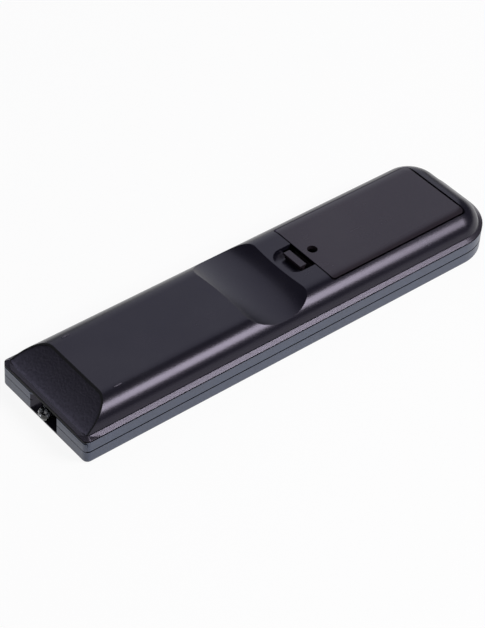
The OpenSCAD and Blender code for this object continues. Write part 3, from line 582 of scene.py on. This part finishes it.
def turn_profile(builder, profile, steps):
    """Turns (distance along Y, radius) points in millimetres about the Y axis. Radius 0 closes an end."""
    rings = []
    turns = [2 * math.pi * i / steps for i in range(steps)]
    for distance, radius in profile:
        y, reach = distance * MM, radius * MM
        if radius == 0:
            rings.append([builder.verts.new((0, y, 0))])
            continue
        rings.append([builder.verts.new((reach * math.cos(a), y, reach * math.sin(a))) for a in turns])
    for near, far in zip(rings, rings[1:]):
        for i in range(steps):
            j = (i + 1) % steps
            corners = [near[i % len(near)], near[j % len(near)], far[j % len(far)], far[i % len(far)]]
            builder.faces.new(list(dict.fromkeys(corners)))


def sweep_wire(builder, path, radius, sides=12):
    """A round wire along a path, closed at both ends."""
    rings = []
    for i, point in enumerate(path):
        heading = (path[min(i + 1, len(path) - 1)] - path[max(i - 1, 0)]).normalized()
        turn = heading.to_track_quat("Z", "Y").to_matrix()
        angles = [2 * math.pi * k / sides for k in range(sides)]
        rings.append([
            builder.verts.new(point + turn @ Vector((radius * math.cos(a), radius * math.sin(a), 0)))
            for a in angles
        ])
    for near, far in zip(rings, rings[1:]):
        best = min(range(sides), key=lambda s: (near[0].co - far[s].co).length)
        for k in range(sides):
            builder.faces.new((
                near[k], near[(k + 1) % sides], far[(k + 1 + best) % sides], far[(k + best) % sides]
            ))
    builder.faces.new(rings[0])
    builder.faces.new(rings[-1])


def rounded_block(builder, low, high, radius):
    """A box with rounded edges between two corners."""
    made = bmesh.ops.create_cube(builder, size=1.0)
    size = [b - a for a, b in zip(low, high)]
    centre = [(a + b) / 2 for a, b in zip(low, high)]
    bmesh.ops.scale(builder, vec=size, verts=made["verts"])
    bmesh.ops.translate(builder, vec=centre, verts=made["verts"])
    edges = list({e for v in made["verts"] for e in v.link_edges})
    bmesh.ops.bevel(builder, geom=edges, offset=radius, segments=3, affect="EDGES", profile=0.5)


def skin_of(mesh):
    """A surface that marks are printed on."""
    corners = [v.co.copy() for v in mesh.vertices]
    return BVHTree.FromPolygons(corners, [tuple(p.vertices) for p in mesh.polygons])


# Printed marks, drawn in millimetres: x to the right and y up, as a user reads them

def bar(x0, y0, x1, y1):
    """A rectangle."""
    return [(x0, y0), (x1, y0), (x1, y1), (x0, y1)]


def triangle(size, turn):
    """A triangle that points up, turned by degrees."""
    corners = [(0, 0.6 * size), (-0.62 * size, -0.4 * size), (0.62 * size, -0.4 * size)]
    c = math.cos(math.radians(turn))
    s = math.sin(math.radians(turn))
    return [(x * c - y * s, x * s + y * c) for x, y in corners]


def arc_band(radius, width, start, end, steps=20):
    """A ring, or part of one, as short quads."""
    angles = [math.radians(start + (end - start) * i / steps) for i in range(steps + 1)]
    inner = radius - width / 2
    outer = radius + width / 2
    quads = []
    for a, b in zip(angles, angles[1:]):
        quads.append([
            (inner * math.cos(a), inner * math.sin(a)), (outer * math.cos(a), outer * math.sin(a)),
            (outer * math.cos(b), outer * math.sin(b)), (inner * math.cos(b), inner * math.sin(b)),
        ])
    return quads


def dots(count):
    """A row of small round dots."""
    steps = [2 * math.pi * i / 16 for i in range(16)]
    places = [(i - (count - 1) / 2) * 1.1 for i in range(count)]
    return [[(x + 0.36 * math.cos(a), 0.36 * math.sin(a)) for a in steps] for x in places]


PLUS = [bar(-1.1, -0.18, -0.18, 0.18), bar(-0.18, -1.1, 0.18, 1.1), bar(0.18, -0.18, 1.1, 0.18)]
MINUS = [bar(-1.1, -0.18, 1.1, 0.18)]
SPEAKER = [
    bar(-1.3, -0.45, -0.7, 0.45), [(-0.7, -0.45), (0.1, -1.05), (0.1, 1.05), (-0.7, 0.45)],
    [(0.5, -0.55), (0.7, -0.75), (1.6, 0.35), (1.4, 0.55)],
    [(0.5, 0.55), (1.4, -0.55), (1.6, -0.35), (0.7, 0.75)],
]
MARKS = {
    "power_key": arc_band(1.5, 0.42, 125, 415) + [bar(-0.21, 0.3, 0.21, 2.0)],
    "setup_key": arc_band(0.95, 0.36, 0, 360) + dots(1),
    "entry_key": [bar(-1.0, -0.2, 1.0, 0.2)],
    "input_key": [bar(0.9, -1.0, 1.25, 1.0), bar(-1.4, -0.17, -0.3, 0.17), triangle(1.1, -90)],
    "up_key": [triangle(2.0, 0)],
    "right_key": [triangle(2.0, -90)],
    "down_key": [triangle(2.0, 180)],
    "left_key": [triangle(2.0, 90)],
    "centre_key": arc_band(1.3, 0.4, 0, 360),
    "volume_up_key": PLUS,
    "volume_down_key": MINUS,
    "channel_up_key": [triangle(1.7, 0)],
    "channel_down_key": [triangle(1.7, 180)],
    "mute_key": SPEAKER,
    "menu_key": [bar(-1.2, y - 0.17, 1.2, y + 0.17) for y in (-0.75, 0, 0.75)],
}
MARKS.update({f"mode_key_{n}": dots(n) for n in range(1, 5)})


def drawn_mark(shapes, scale=1.0):
    """A flat mark from outlines in millimetres."""
    builder = bmesh.new()
    for shape in shapes:
        builder.faces.new([builder.verts.new((x * scale * MM, y * scale * MM, 0)) for x, y in shape])
    return builder


def digit_mark(digit, height):
    """A flat mark of one plain digit."""
    curve = bpy.data.curves.new("digit", "FONT")
    curve.body = digit
    curve.align_x = "CENTER"
    curve.align_y = "CENTER"
    curve.size = height / 0.7
    curve.resolution_u = 4
    holder = bpy.data.objects.new("digit", curve)
    bpy.context.scene.collection.objects.link(holder)
    bpy.context.view_layer.update()
    flat = bpy.data.meshes.new_from_object(holder.evaluated_get(bpy.context.evaluated_depsgraph_get()))
    builder = bmesh.new()
    builder.from_mesh(flat)
    bpy.data.objects.remove(holder)
    bpy.data.curves.remove(curve)
    bpy.data.meshes.remove(flat)
    xs = [v.co.x for v in builder.verts]
    ys = [v.co.y for v in builder.verts]
    middle = Vector(((min(xs) + max(xs)) / 2, (min(ys) + max(ys)) / 2, 0))
    bmesh.ops.translate(builder, vec=-middle, verts=builder.verts)
    return builder


def lay_mark(builder, skin, place, across, along, toward, lift):
    """Lays a flat mark on a surface as a thin printed film that follows it."""
    bmesh.ops.remove_doubles(builder, verts=builder.verts, dist=0.001 * MM)
    bmesh.ops.triangulate(builder, faces=builder.faces)
    long_edges = [e for e in builder.edges if e.calc_length() > 0.7 * MM]
    bmesh.ops.subdivide_edges(builder, edges=long_edges, cuts=2)
    for vert in builder.verts:
        start = place + across * vert.co.x + along * vert.co.y - toward * 20 * MM
        hit = skin.ray_cast(start, toward)[0]
        if hit is None:
            raise RuntimeError("a printed mark reaches past its key")
        vert.co = hit - toward * lift
    faces = list(builder.faces)
    film = bmesh.ops.extrude_face_region(builder, geom=faces)
    sunk = [v for v in film["geom"] if isinstance(v, bmesh.types.BMVert)]
    bmesh.ops.translate(builder, vec=toward * 2 * lift, verts=sunk)


# Operators, one for each piece or group of like pieces

class REMOTE_OT_effects(bpy.types.Operator):
    """Build the effects that the finishes share"""

    bl_idname = "remote.effects"
    bl_label = "Shared effects"

    def execute(self, context):
        make_moulded_grain()
        make_worn_edges()
        make_settled_dust()
        make_handling()
        make_nose_ramp()
        make_seam_shade()
        return {"FINISHED"}


class REMOTE_OT_case(bpy.types.Operator):
    """Finish the shells, the battery door and its latch, with a coarser grain on the slope"""

    bl_idname = "remote.case"
    bl_label = "Case"

    def execute(self, context):
        case = context.scene.remote_case
        common = {"grain": case.grain, "depth": SKIN_DEPTH, "wear": case.wear, "sheen": case.sheen}
        glossy = {"roughness": case.gloss, "dust": case.dust, "ior": 1.45, "seam": case.seam, **common}
        skin = moulded_plastic("Body_plastic", case.colour, **glossy)
        slope = moulded_plastic(
            "Slope_grain", case.panel_colour, case.panel_gloss, case.panel_grain, 0.1 * MM, case.wear,
            case.dust, sheen=case.sheen, mottle=case.mottle
        )
        door = moulded_plastic("Door_plastic", case.door_colour, **glossy)
        # Painted highlight: the shoulder is a paler copy of the case plastic with a higher IOR, brighter than
        # the rest of the moulding
        lit_shoulder = moulded_plastic("Shoulder_painted_highlight", case.shoulder_highlight_colour, case.gloss, ior=1.72, **common)
        # Painted shade: a near-black plastic with little reflection, for the black line round the slope
        # panel, the gap under the lip and the shaded faces of the nose corners
        rim = moulded_plastic("Painted_shade_black", (0.002, 0.002, 0.003), 0.6, case.grain, 0.004 * MM, 0.0, ior=1.35)
        # Painted highlight: the lip below the slope is a paler copy of the case plastic
        lit_lip = moulded_plastic("Lip_painted_highlight", case.lip_highlight_colour, case.panel_gloss, **common)
        # Painted reflection: the upright sides of both shells get a paler colour than the rest of the same
        # mouldings, for the bright floor they reflect
        lit_band = moulded_plastic(
            "Side_band_painted_light", case.lit_band_colour, case.band_gloss, case.grain, 0.003 * MM, case.wear, ior=1.58
        )
        for node in ("battery_door", "door_latch"):
            dress(node, door)
        paint(dress("front_case", skin, lit_band), LIT_BAND, self.on_lit_band)
        mesh = dress("back_case", skin, lit_band, slope, lit_shoulder, rim, lit_lip)
        paint(mesh, LIT_BAND, self.on_lit_band)
        self.paint_back(mesh)
        return {"FINISHED"}

    def on_lit_band(self, polygon):
        """Whether a face is one of the upright outer faces of a shell, which get the paler band colour as
        painted reflection; the walls in the notch and the parting line keep the case colour, as they lie in
        shade.
        """
        middle = polygon.center
        in_notch = abs(middle.x) < NOTCH_INSIDE and middle.y < NOTCH_REAR
        in_line = abs(middle.z - PARTING_LINE) < PARTING_HALF
        top = NOSE_BAND_TOP if polygon.normal.y < -0.5 else SIDE_BAND_TOP
        return abs(polygon.normal.z) < 0.3 and middle.z < top and not (in_notch or in_line)

    def paint_back(self, mesh):
        """Gives the slope its grained finish, black painted shade to the slope's rim and the lip's underside,
        and painted highlights to the lip and the shoulder.
        """
        tilt, height = slope_plane(mesh)
        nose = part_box("back_case")[0][1]
        for polygon in mesh.polygons:
            normal, middle = polygon.normal, polygon.center
            on_shoulder = 0.84 < normal.z < 0.88 and SHOULDER_FOOT < middle.z < SHOULDER_TOP
            on_lip = middle.y < nose + LIP_REACH and LIP_FOOT < middle.z < LIP_TOP and normal.y < -0.5
            if faces_slope(polygon) and middle.dot(tilt) < height - PANEL_SINK:
                polygon.material_index = SLOPE
            # Painted shade black on the slope's rim, painted highlight on its low edge
            elif faces_slope(polygon):
                polygon.material_index = SHADE_BLACK if middle.z > RIM_FOOT else LIP_HIGHLIGHT
            # Painted highlight on the shoulder
            elif on_shoulder:
                polygon.material_index = SHOULDER_HIGHLIGHT
            # Painted shade black on the lip's steep underside, painted highlight on the rest of the lip
            elif on_lip and polygon.material_index == BODY:
                polygon.material_index = SHADE_BLACK if normal.z < 0.6 else LIP_HIGHLIGHT


class REMOTE_OT_nose(bpy.types.Operator):
    """Carry the shoulder round the corners of the nose and raise the bands beside the emitter"""

    bl_idname = "remote.nose"
    bl_label = "Nose corners"

    def execute(self, context):
        low, high = box_of("back_case")
        half, nose = high.x, low.y
        corner = self.corner_path(half, nose)
        side_start = (Vector((half, nose + BROW_CORNER)), Vector((-1, 0)))
        nose_end = (Vector((half - BROW_CORNER, nose)), Vector((0, 1)))
        notch_end = (Vector((NOTCH_HALF, nose)), Vector((-1, 1)))
        on_nose = [step for step in corner if step[0].y < nose + BAND_EDGE[-1][0]]
        tilt, height = slope_plane(frame["nodes"]["back_case"].data)
        brow = Vector((half - BROW_CORNER, nose + BROW_CORNER))

        def tucked(place, level):
            """A height under the slope, and under the skin of the back where the two overlap."""
            sunk = max(0.0, BROW_CORNER - (place - brow).length)
            under_slope = (height - tilt.y * place.y) / tilt.z - 0.03 * MM
            return max(LIP_FOOT, min(level, under_slope) - min(0.4 * MM, sunk))

        for name, side in (("left", -1), ("right", 1)):
            path = [side_start, *corner, nose_end]
            shoulder = self.add_edge(
                "nose_corner_" + name, path, SHOULDER_EDGE, side, "Shoulder_painted_highlight", tucked
            )
            self.paint_corner(shoulder.data)
            path = [*on_nose, notch_end]
            self.add_edge("nose_band_" + name, path, BAND_EDGE, side, "Side_band_painted_light", lambda place, level: level)
        return {"FINISHED"}

    def corner_path(self, half, nose):
        """Points round the right corner of the nose, each with the way inward."""
        centre = Vector((half - NOSE_CORNER, nose + NOSE_CORNER))
        steps = 12
        path = []
        for i in range(steps + 1):
            angle = -math.pi / 2 * i / steps
            out = Vector((math.cos(angle), math.sin(angle)))
            path.append((centre + NOSE_CORNER * out, -out))
        return path

    def add_edge(self, name, path, profile, side, finish, fit):
        """Runs a closed profile of (inset, height) points along a path on one side of the nose."""
        builder = bmesh.new()
        rings = []
        for spot, inward in path:
            ring = []
            for inset, level in profile:
                place = spot + inward * inset
                ring.append(builder.verts.new((side * place.x, place.y, fit(place, level))))
            rings.append(ring)
        for near, far in zip(rings, rings[1:]):
            for i in range(len(near)):
                j = (i + 1) % len(near)
                builder.faces.new((near[i], near[j], far[j], far[i]))
        builder.faces.new(rings[0])
        builder.faces.new(rings[-1])
        return add_piece(name, builder, bpy.data.materials[finish], "case")

    def paint_corner(self, mesh):
        """Paler band colour, painted light, low on the side, and black painted shade on what faces the nose,
        lies in the line or faces down.
        """
        mesh.materials.append(bpy.data.materials["Side_band_painted_light"])
        mesh.materials.append(bpy.data.materials["Painted_shade_black"])
        # Slot 2 holds the black painted shade
        band, dark = 1, 2
        for polygon in mesh.polygons:
            upright = abs(polygon.normal.z) < 0.3
            if upright and polygon.normal.y > -0.7 and polygon.center.z < SIDE_BAND_TOP:
                polygon.material_index = band
            elif upright or polygon.normal.z < 0:
                polygon.material_index = dark


class REMOTE_OT_keys(bpy.types.Operator):
    """Finish the keys and print their marks"""

    bl_idname = "remote.keys"
    bl_label = "Keys"

    def execute(self, context):
        keys = context.scene.remote_keys
        finishes = {
            name: moulded_plastic(name.capitalize() + "_key", getattr(keys, name), 0.4, 0.18 * MM, 0.003 * MM)
            for name in ("dark", "light", "red", "green", "yellow", "blue")
        }
        ink = moulded_plastic("Printed_mark", keys.mark, 0.5, 0.1 * MM, 0.001 * MM, 0.1)
        wears = {"power_key": "red", "centre_key": "light"}
        wears.update({f"mode_key_{n}": "light" for n in range(1, 5)})
        wears.update({f"{name}_key": name for name in ("red", "green", "yellow", "blue")})
        for body in frame["bodies"]:
            if "_key" not in body:
                continue
            mesh = dress(body, finishes[wears.get(body, "dark")])
            if body.startswith("digit_key_"):
                mark = digit_mark(body[-1], keys.mark_height)
            elif body in MARKS:
                mark = drawn_mark(MARKS[body])
            else:
                continue
            low, high = box_of(body)
            lay_mark(mark, skin_of(mesh), (low + high) / 2, RIGHT, -ALONG, UP, keys.mark_lift)
            add_piece(body + "_mark", mark, ink, body)
        return {"FINISHED"}


class REMOTE_OT_cells(bpy.types.Operator):
    """Build the two cells with their crimped ends, jackets and polarity marks"""

    bl_idname = "remote.cells"
    bl_label = "Cells"

    def execute(self, context):
        cells = context.scene.remote_cells
        low, high = box_of("battery_left")
        length = high.y - low.y
        size = (length / MM, (high.x - low.x) / 2 / MM)
        steel = plated_metal("Cell_steel", cells.nickel, 0.25, 0.2 * MM)
        foil = foil_jacket("Cell_jacket", cells.jacket, cells.band, length)
        ink = moulded_plastic("Cell_print", (0.8, 0.8, 0.78), 0.45, 0.1 * MM, 0.001 * MM, 0.1)
        for node, turn in (("battery_left", 0.0), ("battery_right", math.pi)):
            low, high = box_of(node)
            middle = (low + high) / 2
            start = Vector((middle.x, low.y if turn == 0.0 else high.y, middle.z))
            place = Matrix.Translation(start) @ Matrix.Rotation(turn, 4, "Z")
            can = bmesh.new()
            turn_profile(can, self.can_profile(*size), CELL_SIDES)
            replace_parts(add_piece(node + "_can", can, steel, "case", place=place), node)
            wrap = bmesh.new()
            turn_profile(wrap, self.jacket_profile(*size), CELL_SIDES)
            surface = BVHTree.FromBMesh(wrap)
            add_piece(node + "_jacket", wrap, foil, "case", place=place)
            for sign, shapes, away in (("plus", PLUS, 6 * MM), ("minus", MINUS, length - 5 * MM)):
                mark = drawn_mark(shapes, CELL_MARK_SCALE)
                lay_mark(mark, surface, ALONG * away, RIGHT, ALONG, -UP, 0.02 * MM)
                add_piece(f"{node}_{sign}", mark, ink, "case", place=place)
        return {"FINISHED"}

    def can_profile(self, length, radius):
        """The steel can with its button, crimped shoulder and dished flat end, in millimetres."""
        return [
            (0, 0), (0, 1.45), (0.12, 1.75), (0.35, 1.9), (1.05, 1.9), (1.15, 2.2), (1.15, 3.5),
            (1.02, 3.7), (1.02, radius - 0.75), (1.2, radius - 0.3), (1.6, radius - 0.09),
            (length - 0.5, radius - 0.09), (length - 0.12, radius - 0.4), (length, radius - 0.9),
            (length, 2.6), (length - 0.12, 2.3), (length - 0.12, 0),
        ]

    def jacket_profile(self, length, radius):
        """The foil jacket, curled over both ends of the can, in millimetres."""
        return [
            (1.25, radius - 0.62), (1.12, radius - 0.5), (1.3, radius - 0.14), (1.7, radius),
            (length - 0.7, radius), (length - 0.3, radius - 0.12), (length - 0.06, radius - 0.42),
            (length - 0.14, radius - 0.56),
        ]


class REMOTE_OT_springs(bpy.types.Operator):
    """Build the coil springs and finish the contacts and screws"""

    bl_idname = "remote.springs"
    bl_label = "Springs and contacts"

    def execute(self, context):
        cells = context.scene.remote_cells
        nickel = plated_metal("Nickel_plate", cells.nickel, 0.22, 0.15 * MM)
        zinc = plated_metal("Zinc_plate", cells.zinc, 0.35, 0.2 * MM)
        for node in ("contact_bridge", "contact_negative", "contact_positive", "emitter_leads"):
            dress(node, nickel)
        dress("case_screws", zinc)
        for node in ("spring_left", "spring_right"):
            builder = bmesh.new()
            sweep_wire(builder, self.coil_path(node, cells.wire / 2), cells.wire / 2)
            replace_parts(add_piece(node + "_coil", builder, nickel, "case", 60), node)
        return {"FINISHED"}

    def coil_path(self, node, wire):
        """The middle line of a spring's wire: open turns, closed at both ends, with a slight taper."""
        low, high = box_of(node)
        middle = (low + high) / 2
        coil = (high.x - low.x) / 2 - wire
        run = high.y - low.y - 2 * wire
        path = []
        for i in range(COIL_STEPS + 1):
            t = i / COIL_STEPS
            eased = min(1.0, max(0.0, (t - CLOSED_SHARE) / (1 - 2 * CLOSED_SHARE)))
            angle = 2 * math.pi * COIL_TURNS * t
            reach = coil * (1 - COIL_TAPER * t)
            path.append(Vector((
                middle.x + reach * math.cos(angle), low.y + wire + run * eased,
                middle.z + reach * math.sin(angle)
            )))
        return path


class REMOTE_OT_board(bpy.types.Operator):
    """Finish the circuit board, the key mat and the parts on the board"""

    bl_idname = "remote.board"
    bl_label = "Circuit board"

    def execute(self, context):
        board = context.scene.remote_board
        dress("circuit_board", printed_board("Solder_resist", board.resist, board.track))
        dress("key_mat", moulded_plastic("Silicone", board.mat, 0.6, 0.3 * MM, 0.006 * MM, 0.05))
        resin = moulded_plastic("Chip_resin", board.resin, 0.45, 0.12 * MM, 0.008 * MM, 0.2)
        tin = plated_metal("Tinned_leg", (0.6, 0.6, 0.6), 0.3, 0.1 * MM)
        mesh = dress("controller_chip", resin, tin)
        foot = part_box("controller_chip")[0][2] + 0.3 * MM
        paint(mesh, 1, lambda polygon: polygon.center.z < foot)
        dress("driver_transistor", resin)
        dress("resonator", moulded_plastic("Amber_dip", board.amber, 0.25, 0.8 * MM, 0.02 * MM, 0.1))
        sleeve = moulded_plastic("Capacitor_sleeve", board.sleeve, 0.3, 0.5 * MM, 0.004 * MM, 0.2)
        paint(dress("capacitor", sleeve, tin), 1, lambda polygon: abs(polygon.normal.y) > 0.9)
        dress("resistors", moulded_plastic("Resistor_dip", board.resistor, 0.35, 0.3 * MM, 0.006 * MM, 0.1))
        return {"FINISHED"}


class REMOTE_OT_emitter(bpy.types.Operator):
    """Clear the emitter's dome and build the cup, post, die and bond wire inside it"""

    bl_idname = "remote.emitter"
    bl_label = "Emitter and indicator"

    def execute(self, context):
        board = context.scene.remote_board
        # Painted shade: the emitter's epoxy is tinted grey and its lead frame darkened below bright silver,
        # so the inside of the emitter shows dark
        dress("ir_emitter", cast_epoxy("Shaded_clear_epoxy", board.epoxy, 1.0))
        dress("indicator_lamp", cast_epoxy("Red_epoxy", board.lamp, 0.6))
        shaded_silver = plated_metal("Emitter_shaded_silver", (0.22, 0.22, 0.22), 0.3, 0.1 * MM)
        dark = moulded_plastic("Emitter_die", (0.05, 0.045, 0.06), 0.3, 0.05 * MM, 0.001 * MM, 0.1)
        low, high = box_of("ir_emitter")
        middle = (low + high) / 2
        left, right = box_of("emitter_leads")
        lead = (right.x - left.x) / 2 - LEAD_HALF
        front = low.y + CUP_DEPTH
        cup = bmesh.new()
        turn_profile(cup, [
            (0.62, 0), (0.62, 0.42), (0.05, 0.86), (0, 0.95), (0.1, 1.02), (1.1, 1.0), (1.3, 0.7), (1.3, 0)
        ], 40)
        bmesh.ops.translate(cup, vec=(middle.x + CUP_SHIFT, front, middle.z), verts=cup.verts)
        legs = (
            (lead - 0.55 * MM, lead + LEAD_HALF, front + 1.1 * MM),
            (-lead - LEAD_HALF, -lead + 0.3 * MM, front + 0.5 * MM),
        )
        for near, far, start in legs:
            rounded_block(
                cup, (middle.x + near, start, middle.z - LEAD_HALF),
                (middle.x + far, high.y, middle.z + LEAD_HALF), 0.08 * MM
            )
        die = Vector((middle.x + CUP_SHIFT, front + 0.4 * MM, middle.z))
        post = Vector((middle.x - lead, front + 0.45 * MM, middle.z))
        steps = [i / 16 for i in range(17)]
        path = [die.lerp(post, t) - ALONG * (0.75 * MM * math.sin(math.pi * t)) for t in steps]
        sweep_wire(cup, path, 0.05 * MM, 8)
        add_piece("emitter_frame", cup, shaded_silver, "case")
        chip = bmesh.new()
        rounded_block(
            chip, die + Vector((-0.2 * MM, -0.02 * MM, -0.2 * MM)),
            die + Vector((0.2 * MM, 0.25 * MM, 0.2 * MM)), 0.03 * MM
        )
        add_piece("emitter_die", chip, dark, "case")
        return {"FINISHED"}


class REMOTE_OT_studio(bpy.types.Operator):
    """Set the floor, the room, the lamps and the camera"""

    bl_idname = "remote.studio"
    bl_label = "Studio"

    def execute(self, context):
        studio = context.scene.remote_studio
        self.lay_floor(studio)
        self.dim_room(context, studio)
        cool, warm = studio.panel_tint, studio.softbox_tint
        self.hang_lamp("Wall_panel", (-0.62, 0.54, 0.57), UP, 0.95, 1.64, studio.panel, cool)
        self.hang_lamp("Softbox", (0.574, 0.433, 0.695), ALONG, 0.62, 0.67, studio.softbox, warm)
        self.hang_lamp("Fill_panel", (-0.55, -0.7, 0.46), UP, 1.1, 0.7, studio.fill, cool)
        self.hang_lamp("Front_panel", (0.5, -0.55, 0.67), UP, 1.0, 1.0, studio.front, warm)
        self.set_camera(context, studio)
        context.scene.view_settings.view_transform = "Standard"
        return {"FINISHED"}

    def lay_floor(self, studio):
        """A pale floor that shows as white, keeps a faint shadow and is clear from below."""
        mesh = bpy.data.meshes.new("Floor")
        signs = ((-1, -1), (1, -1), (1, 1), (-1, 1))
        mesh.from_pydata([(x * FLOOR_HALF, y * FLOOR_HALF, 0) for x, y in signs], [], [(0, 1, 2, 3)])
        floor = bpy.data.objects.new("Floor", mesh)
        floor.location.z = -FLOOR_DROP
        bpy.context.scene.collection.objects.link(floor)
        finish, tree, shader = new_finish("Floor_paper")
        fibre = noise(tree, surface_place(tree), 400.0, 4.0)
        paper = tinted(tree, fibre, rgba(studio.floor, 0.99), rgba(studio.floor, 1.01))
        tree.links.new(paper, shader.inputs["Base Color"])
        shader.inputs["Roughness"].default_value = 0.9
        shader.inputs["Specular IOR Level"].default_value = 0.0
        path = put(tree, "ShaderNodeLightPath").outputs
        seen = sums(tree, "MAXIMUM", path["Is Camera Ray"], path["Is Glossy Ray"])
        shown = sums(tree, "MAXIMUM", seen, path["Is Transmission Ray"])
        white = put(tree, "ShaderNodeEmission", {"Color": WHITE, "Strength": 1.0})
        share = sums(tree, "MULTIPLY", shown, FLOOR_GLOW)
        mixed = put(tree, "ShaderNodeMixShader", {0: share, 1: shader.outputs[0], 2: white.outputs[0]})
        behind = put(tree, "ShaderNodeNewGeometry").outputs["Backfacing"]
        clear = put(tree, "ShaderNodeBsdfTransparent")
        whole = put(tree, "ShaderNodeMixShader", {0: behind, 1: mixed.outputs[0], 2: clear.outputs[0]})
        tree.links.new(whole.outputs[0], tree.nodes["Material Output"].inputs["Surface"])
        mesh.materials.append(finish)

    def dim_room(self, context, studio):
        """A dim room with a pale line of wall at the horizon."""
        world = bpy.data.worlds.new("Room")
        world.use_nodes = True
        context.scene.world = world
        tree = world.node_tree
        heading = put(tree, "ShaderNodeTexCoord").outputs["Generated"]
        height = put(tree, "ShaderNodeSeparateXYZ", {0: heading}).outputs["Z"]
        wall = spread(tree, height, 0.1, 0.04)
        shade = tinted(tree, wall, rgba(studio.sky), WHITE)
        tree.links.new(shade, tree.nodes["Background"].inputs["Color"])

    def hang_lamp(self, name, heading, long_way, width, height, radiance, tint):
        """A rectangular lamp of even brightness that faces the remote, its height the long way."""
        light = bpy.data.lights.new(name, "AREA")
        light.shape = "RECTANGLE"
        light.size = width
        light.size_y = height
        light.energy = radiance * math.pi * width * height
        light.color = tint
        lamp = bpy.data.objects.new(name, light)
        back = Vector(heading).normalized()
        across = long_way.cross(back).normalized()
        turn = Matrix((across, back.cross(across), back)).transposed().to_4x4()
        lamp.matrix_world = Matrix.Translation(back * LAMP_AWAY) @ turn
        lamp.visible_camera = False
        bpy.context.scene.collection.objects.link(lamp)

    def set_camera(self, context, studio):
        """The camera at the photograph's angle."""
        az, el = studio.azimuth, studio.elevation
        back = Vector((math.sin(az) * math.cos(el), -math.cos(az) * math.cos(el), math.sin(el)))
        right = UP.cross(back).normalized()
        above = back.cross(right)
        turn = Matrix.Rotation(studio.roll, 3, back)
        rows = Matrix((turn @ right, turn @ above, back)).transposed().to_4x4()
        camera = bpy.data.cameras.new("Camera")
        camera.sensor_width = SENSOR_WIDTH
        camera.lens = studio.lens
        holder = bpy.data.objects.new("Camera", camera)
        holder.matrix_world = Matrix.Translation(Vector(studio.target) + back * studio.distance) @ rows
        context.scene.collection.objects.link(holder)
        context.scene.camera = holder


class REMOTE_PT_sidebar(bpy.types.Panel):
    """Steps and settings of the remote control"""

    bl_idname = "REMOTE_PT_sidebar"
    bl_label = "Remote control"
    bl_space_type = "VIEW_3D"
    bl_region_type = "UI"
    bl_category = "Remote"

    def draw(self, context):
        for step in STEPS:
            self.layout.operator(step.bl_idname)
        for name, kind in SETTINGS.items():
            box = self.layout.box()
            box.label(text=kind.__doc__)
            for setting in kind.__annotations__:
                box.prop(getattr(context.scene, name), setting)


SETTINGS = {
    "remote_case": CaseSettings,
    "remote_keys": KeySettings,
    "remote_cells": CellSettings,
    "remote_board": BoardSettings,
    "remote_studio": StudioSettings,
}
STEPS = (
    REMOTE_OT_effects, REMOTE_OT_studio, REMOTE_OT_case, REMOTE_OT_nose, REMOTE_OT_keys, REMOTE_OT_cells,
    REMOTE_OT_springs, REMOTE_OT_board, REMOTE_OT_emitter,
)


def register():
    """Registers the settings, the steps and the panel."""
    for name, kind in SETTINGS.items():
        bpy.utils.register_class(kind)
        setattr(bpy.types.Scene, name, PointerProperty(type=kind))
    for kind in (*STEPS, REMOTE_PT_sidebar):
        bpy.utils.register_class(kind)


def unregister():
    """Takes them away again."""
    for kind in (REMOTE_PT_sidebar, *reversed(STEPS)):
        bpy.utils.unregister_class(kind)
    for name, kind in SETTINGS.items():
        delattr(bpy.types.Scene, name)
        bpy.utils.unregister_class(kind)


def main():
    """Builds the remote step by step."""
    register()
    bpy.ops.remote.effects()
    bpy.ops.remote.studio()
    bpy.ops.remote.case()
    bpy.ops.remote.nose()
    bpy.ops.remote.keys()
    bpy.ops.remote.cells()
    bpy.ops.remote.springs()
    bpy.ops.remote.board()
    bpy.ops.remote.emitter()


if __name__ == "__main__":
    main()
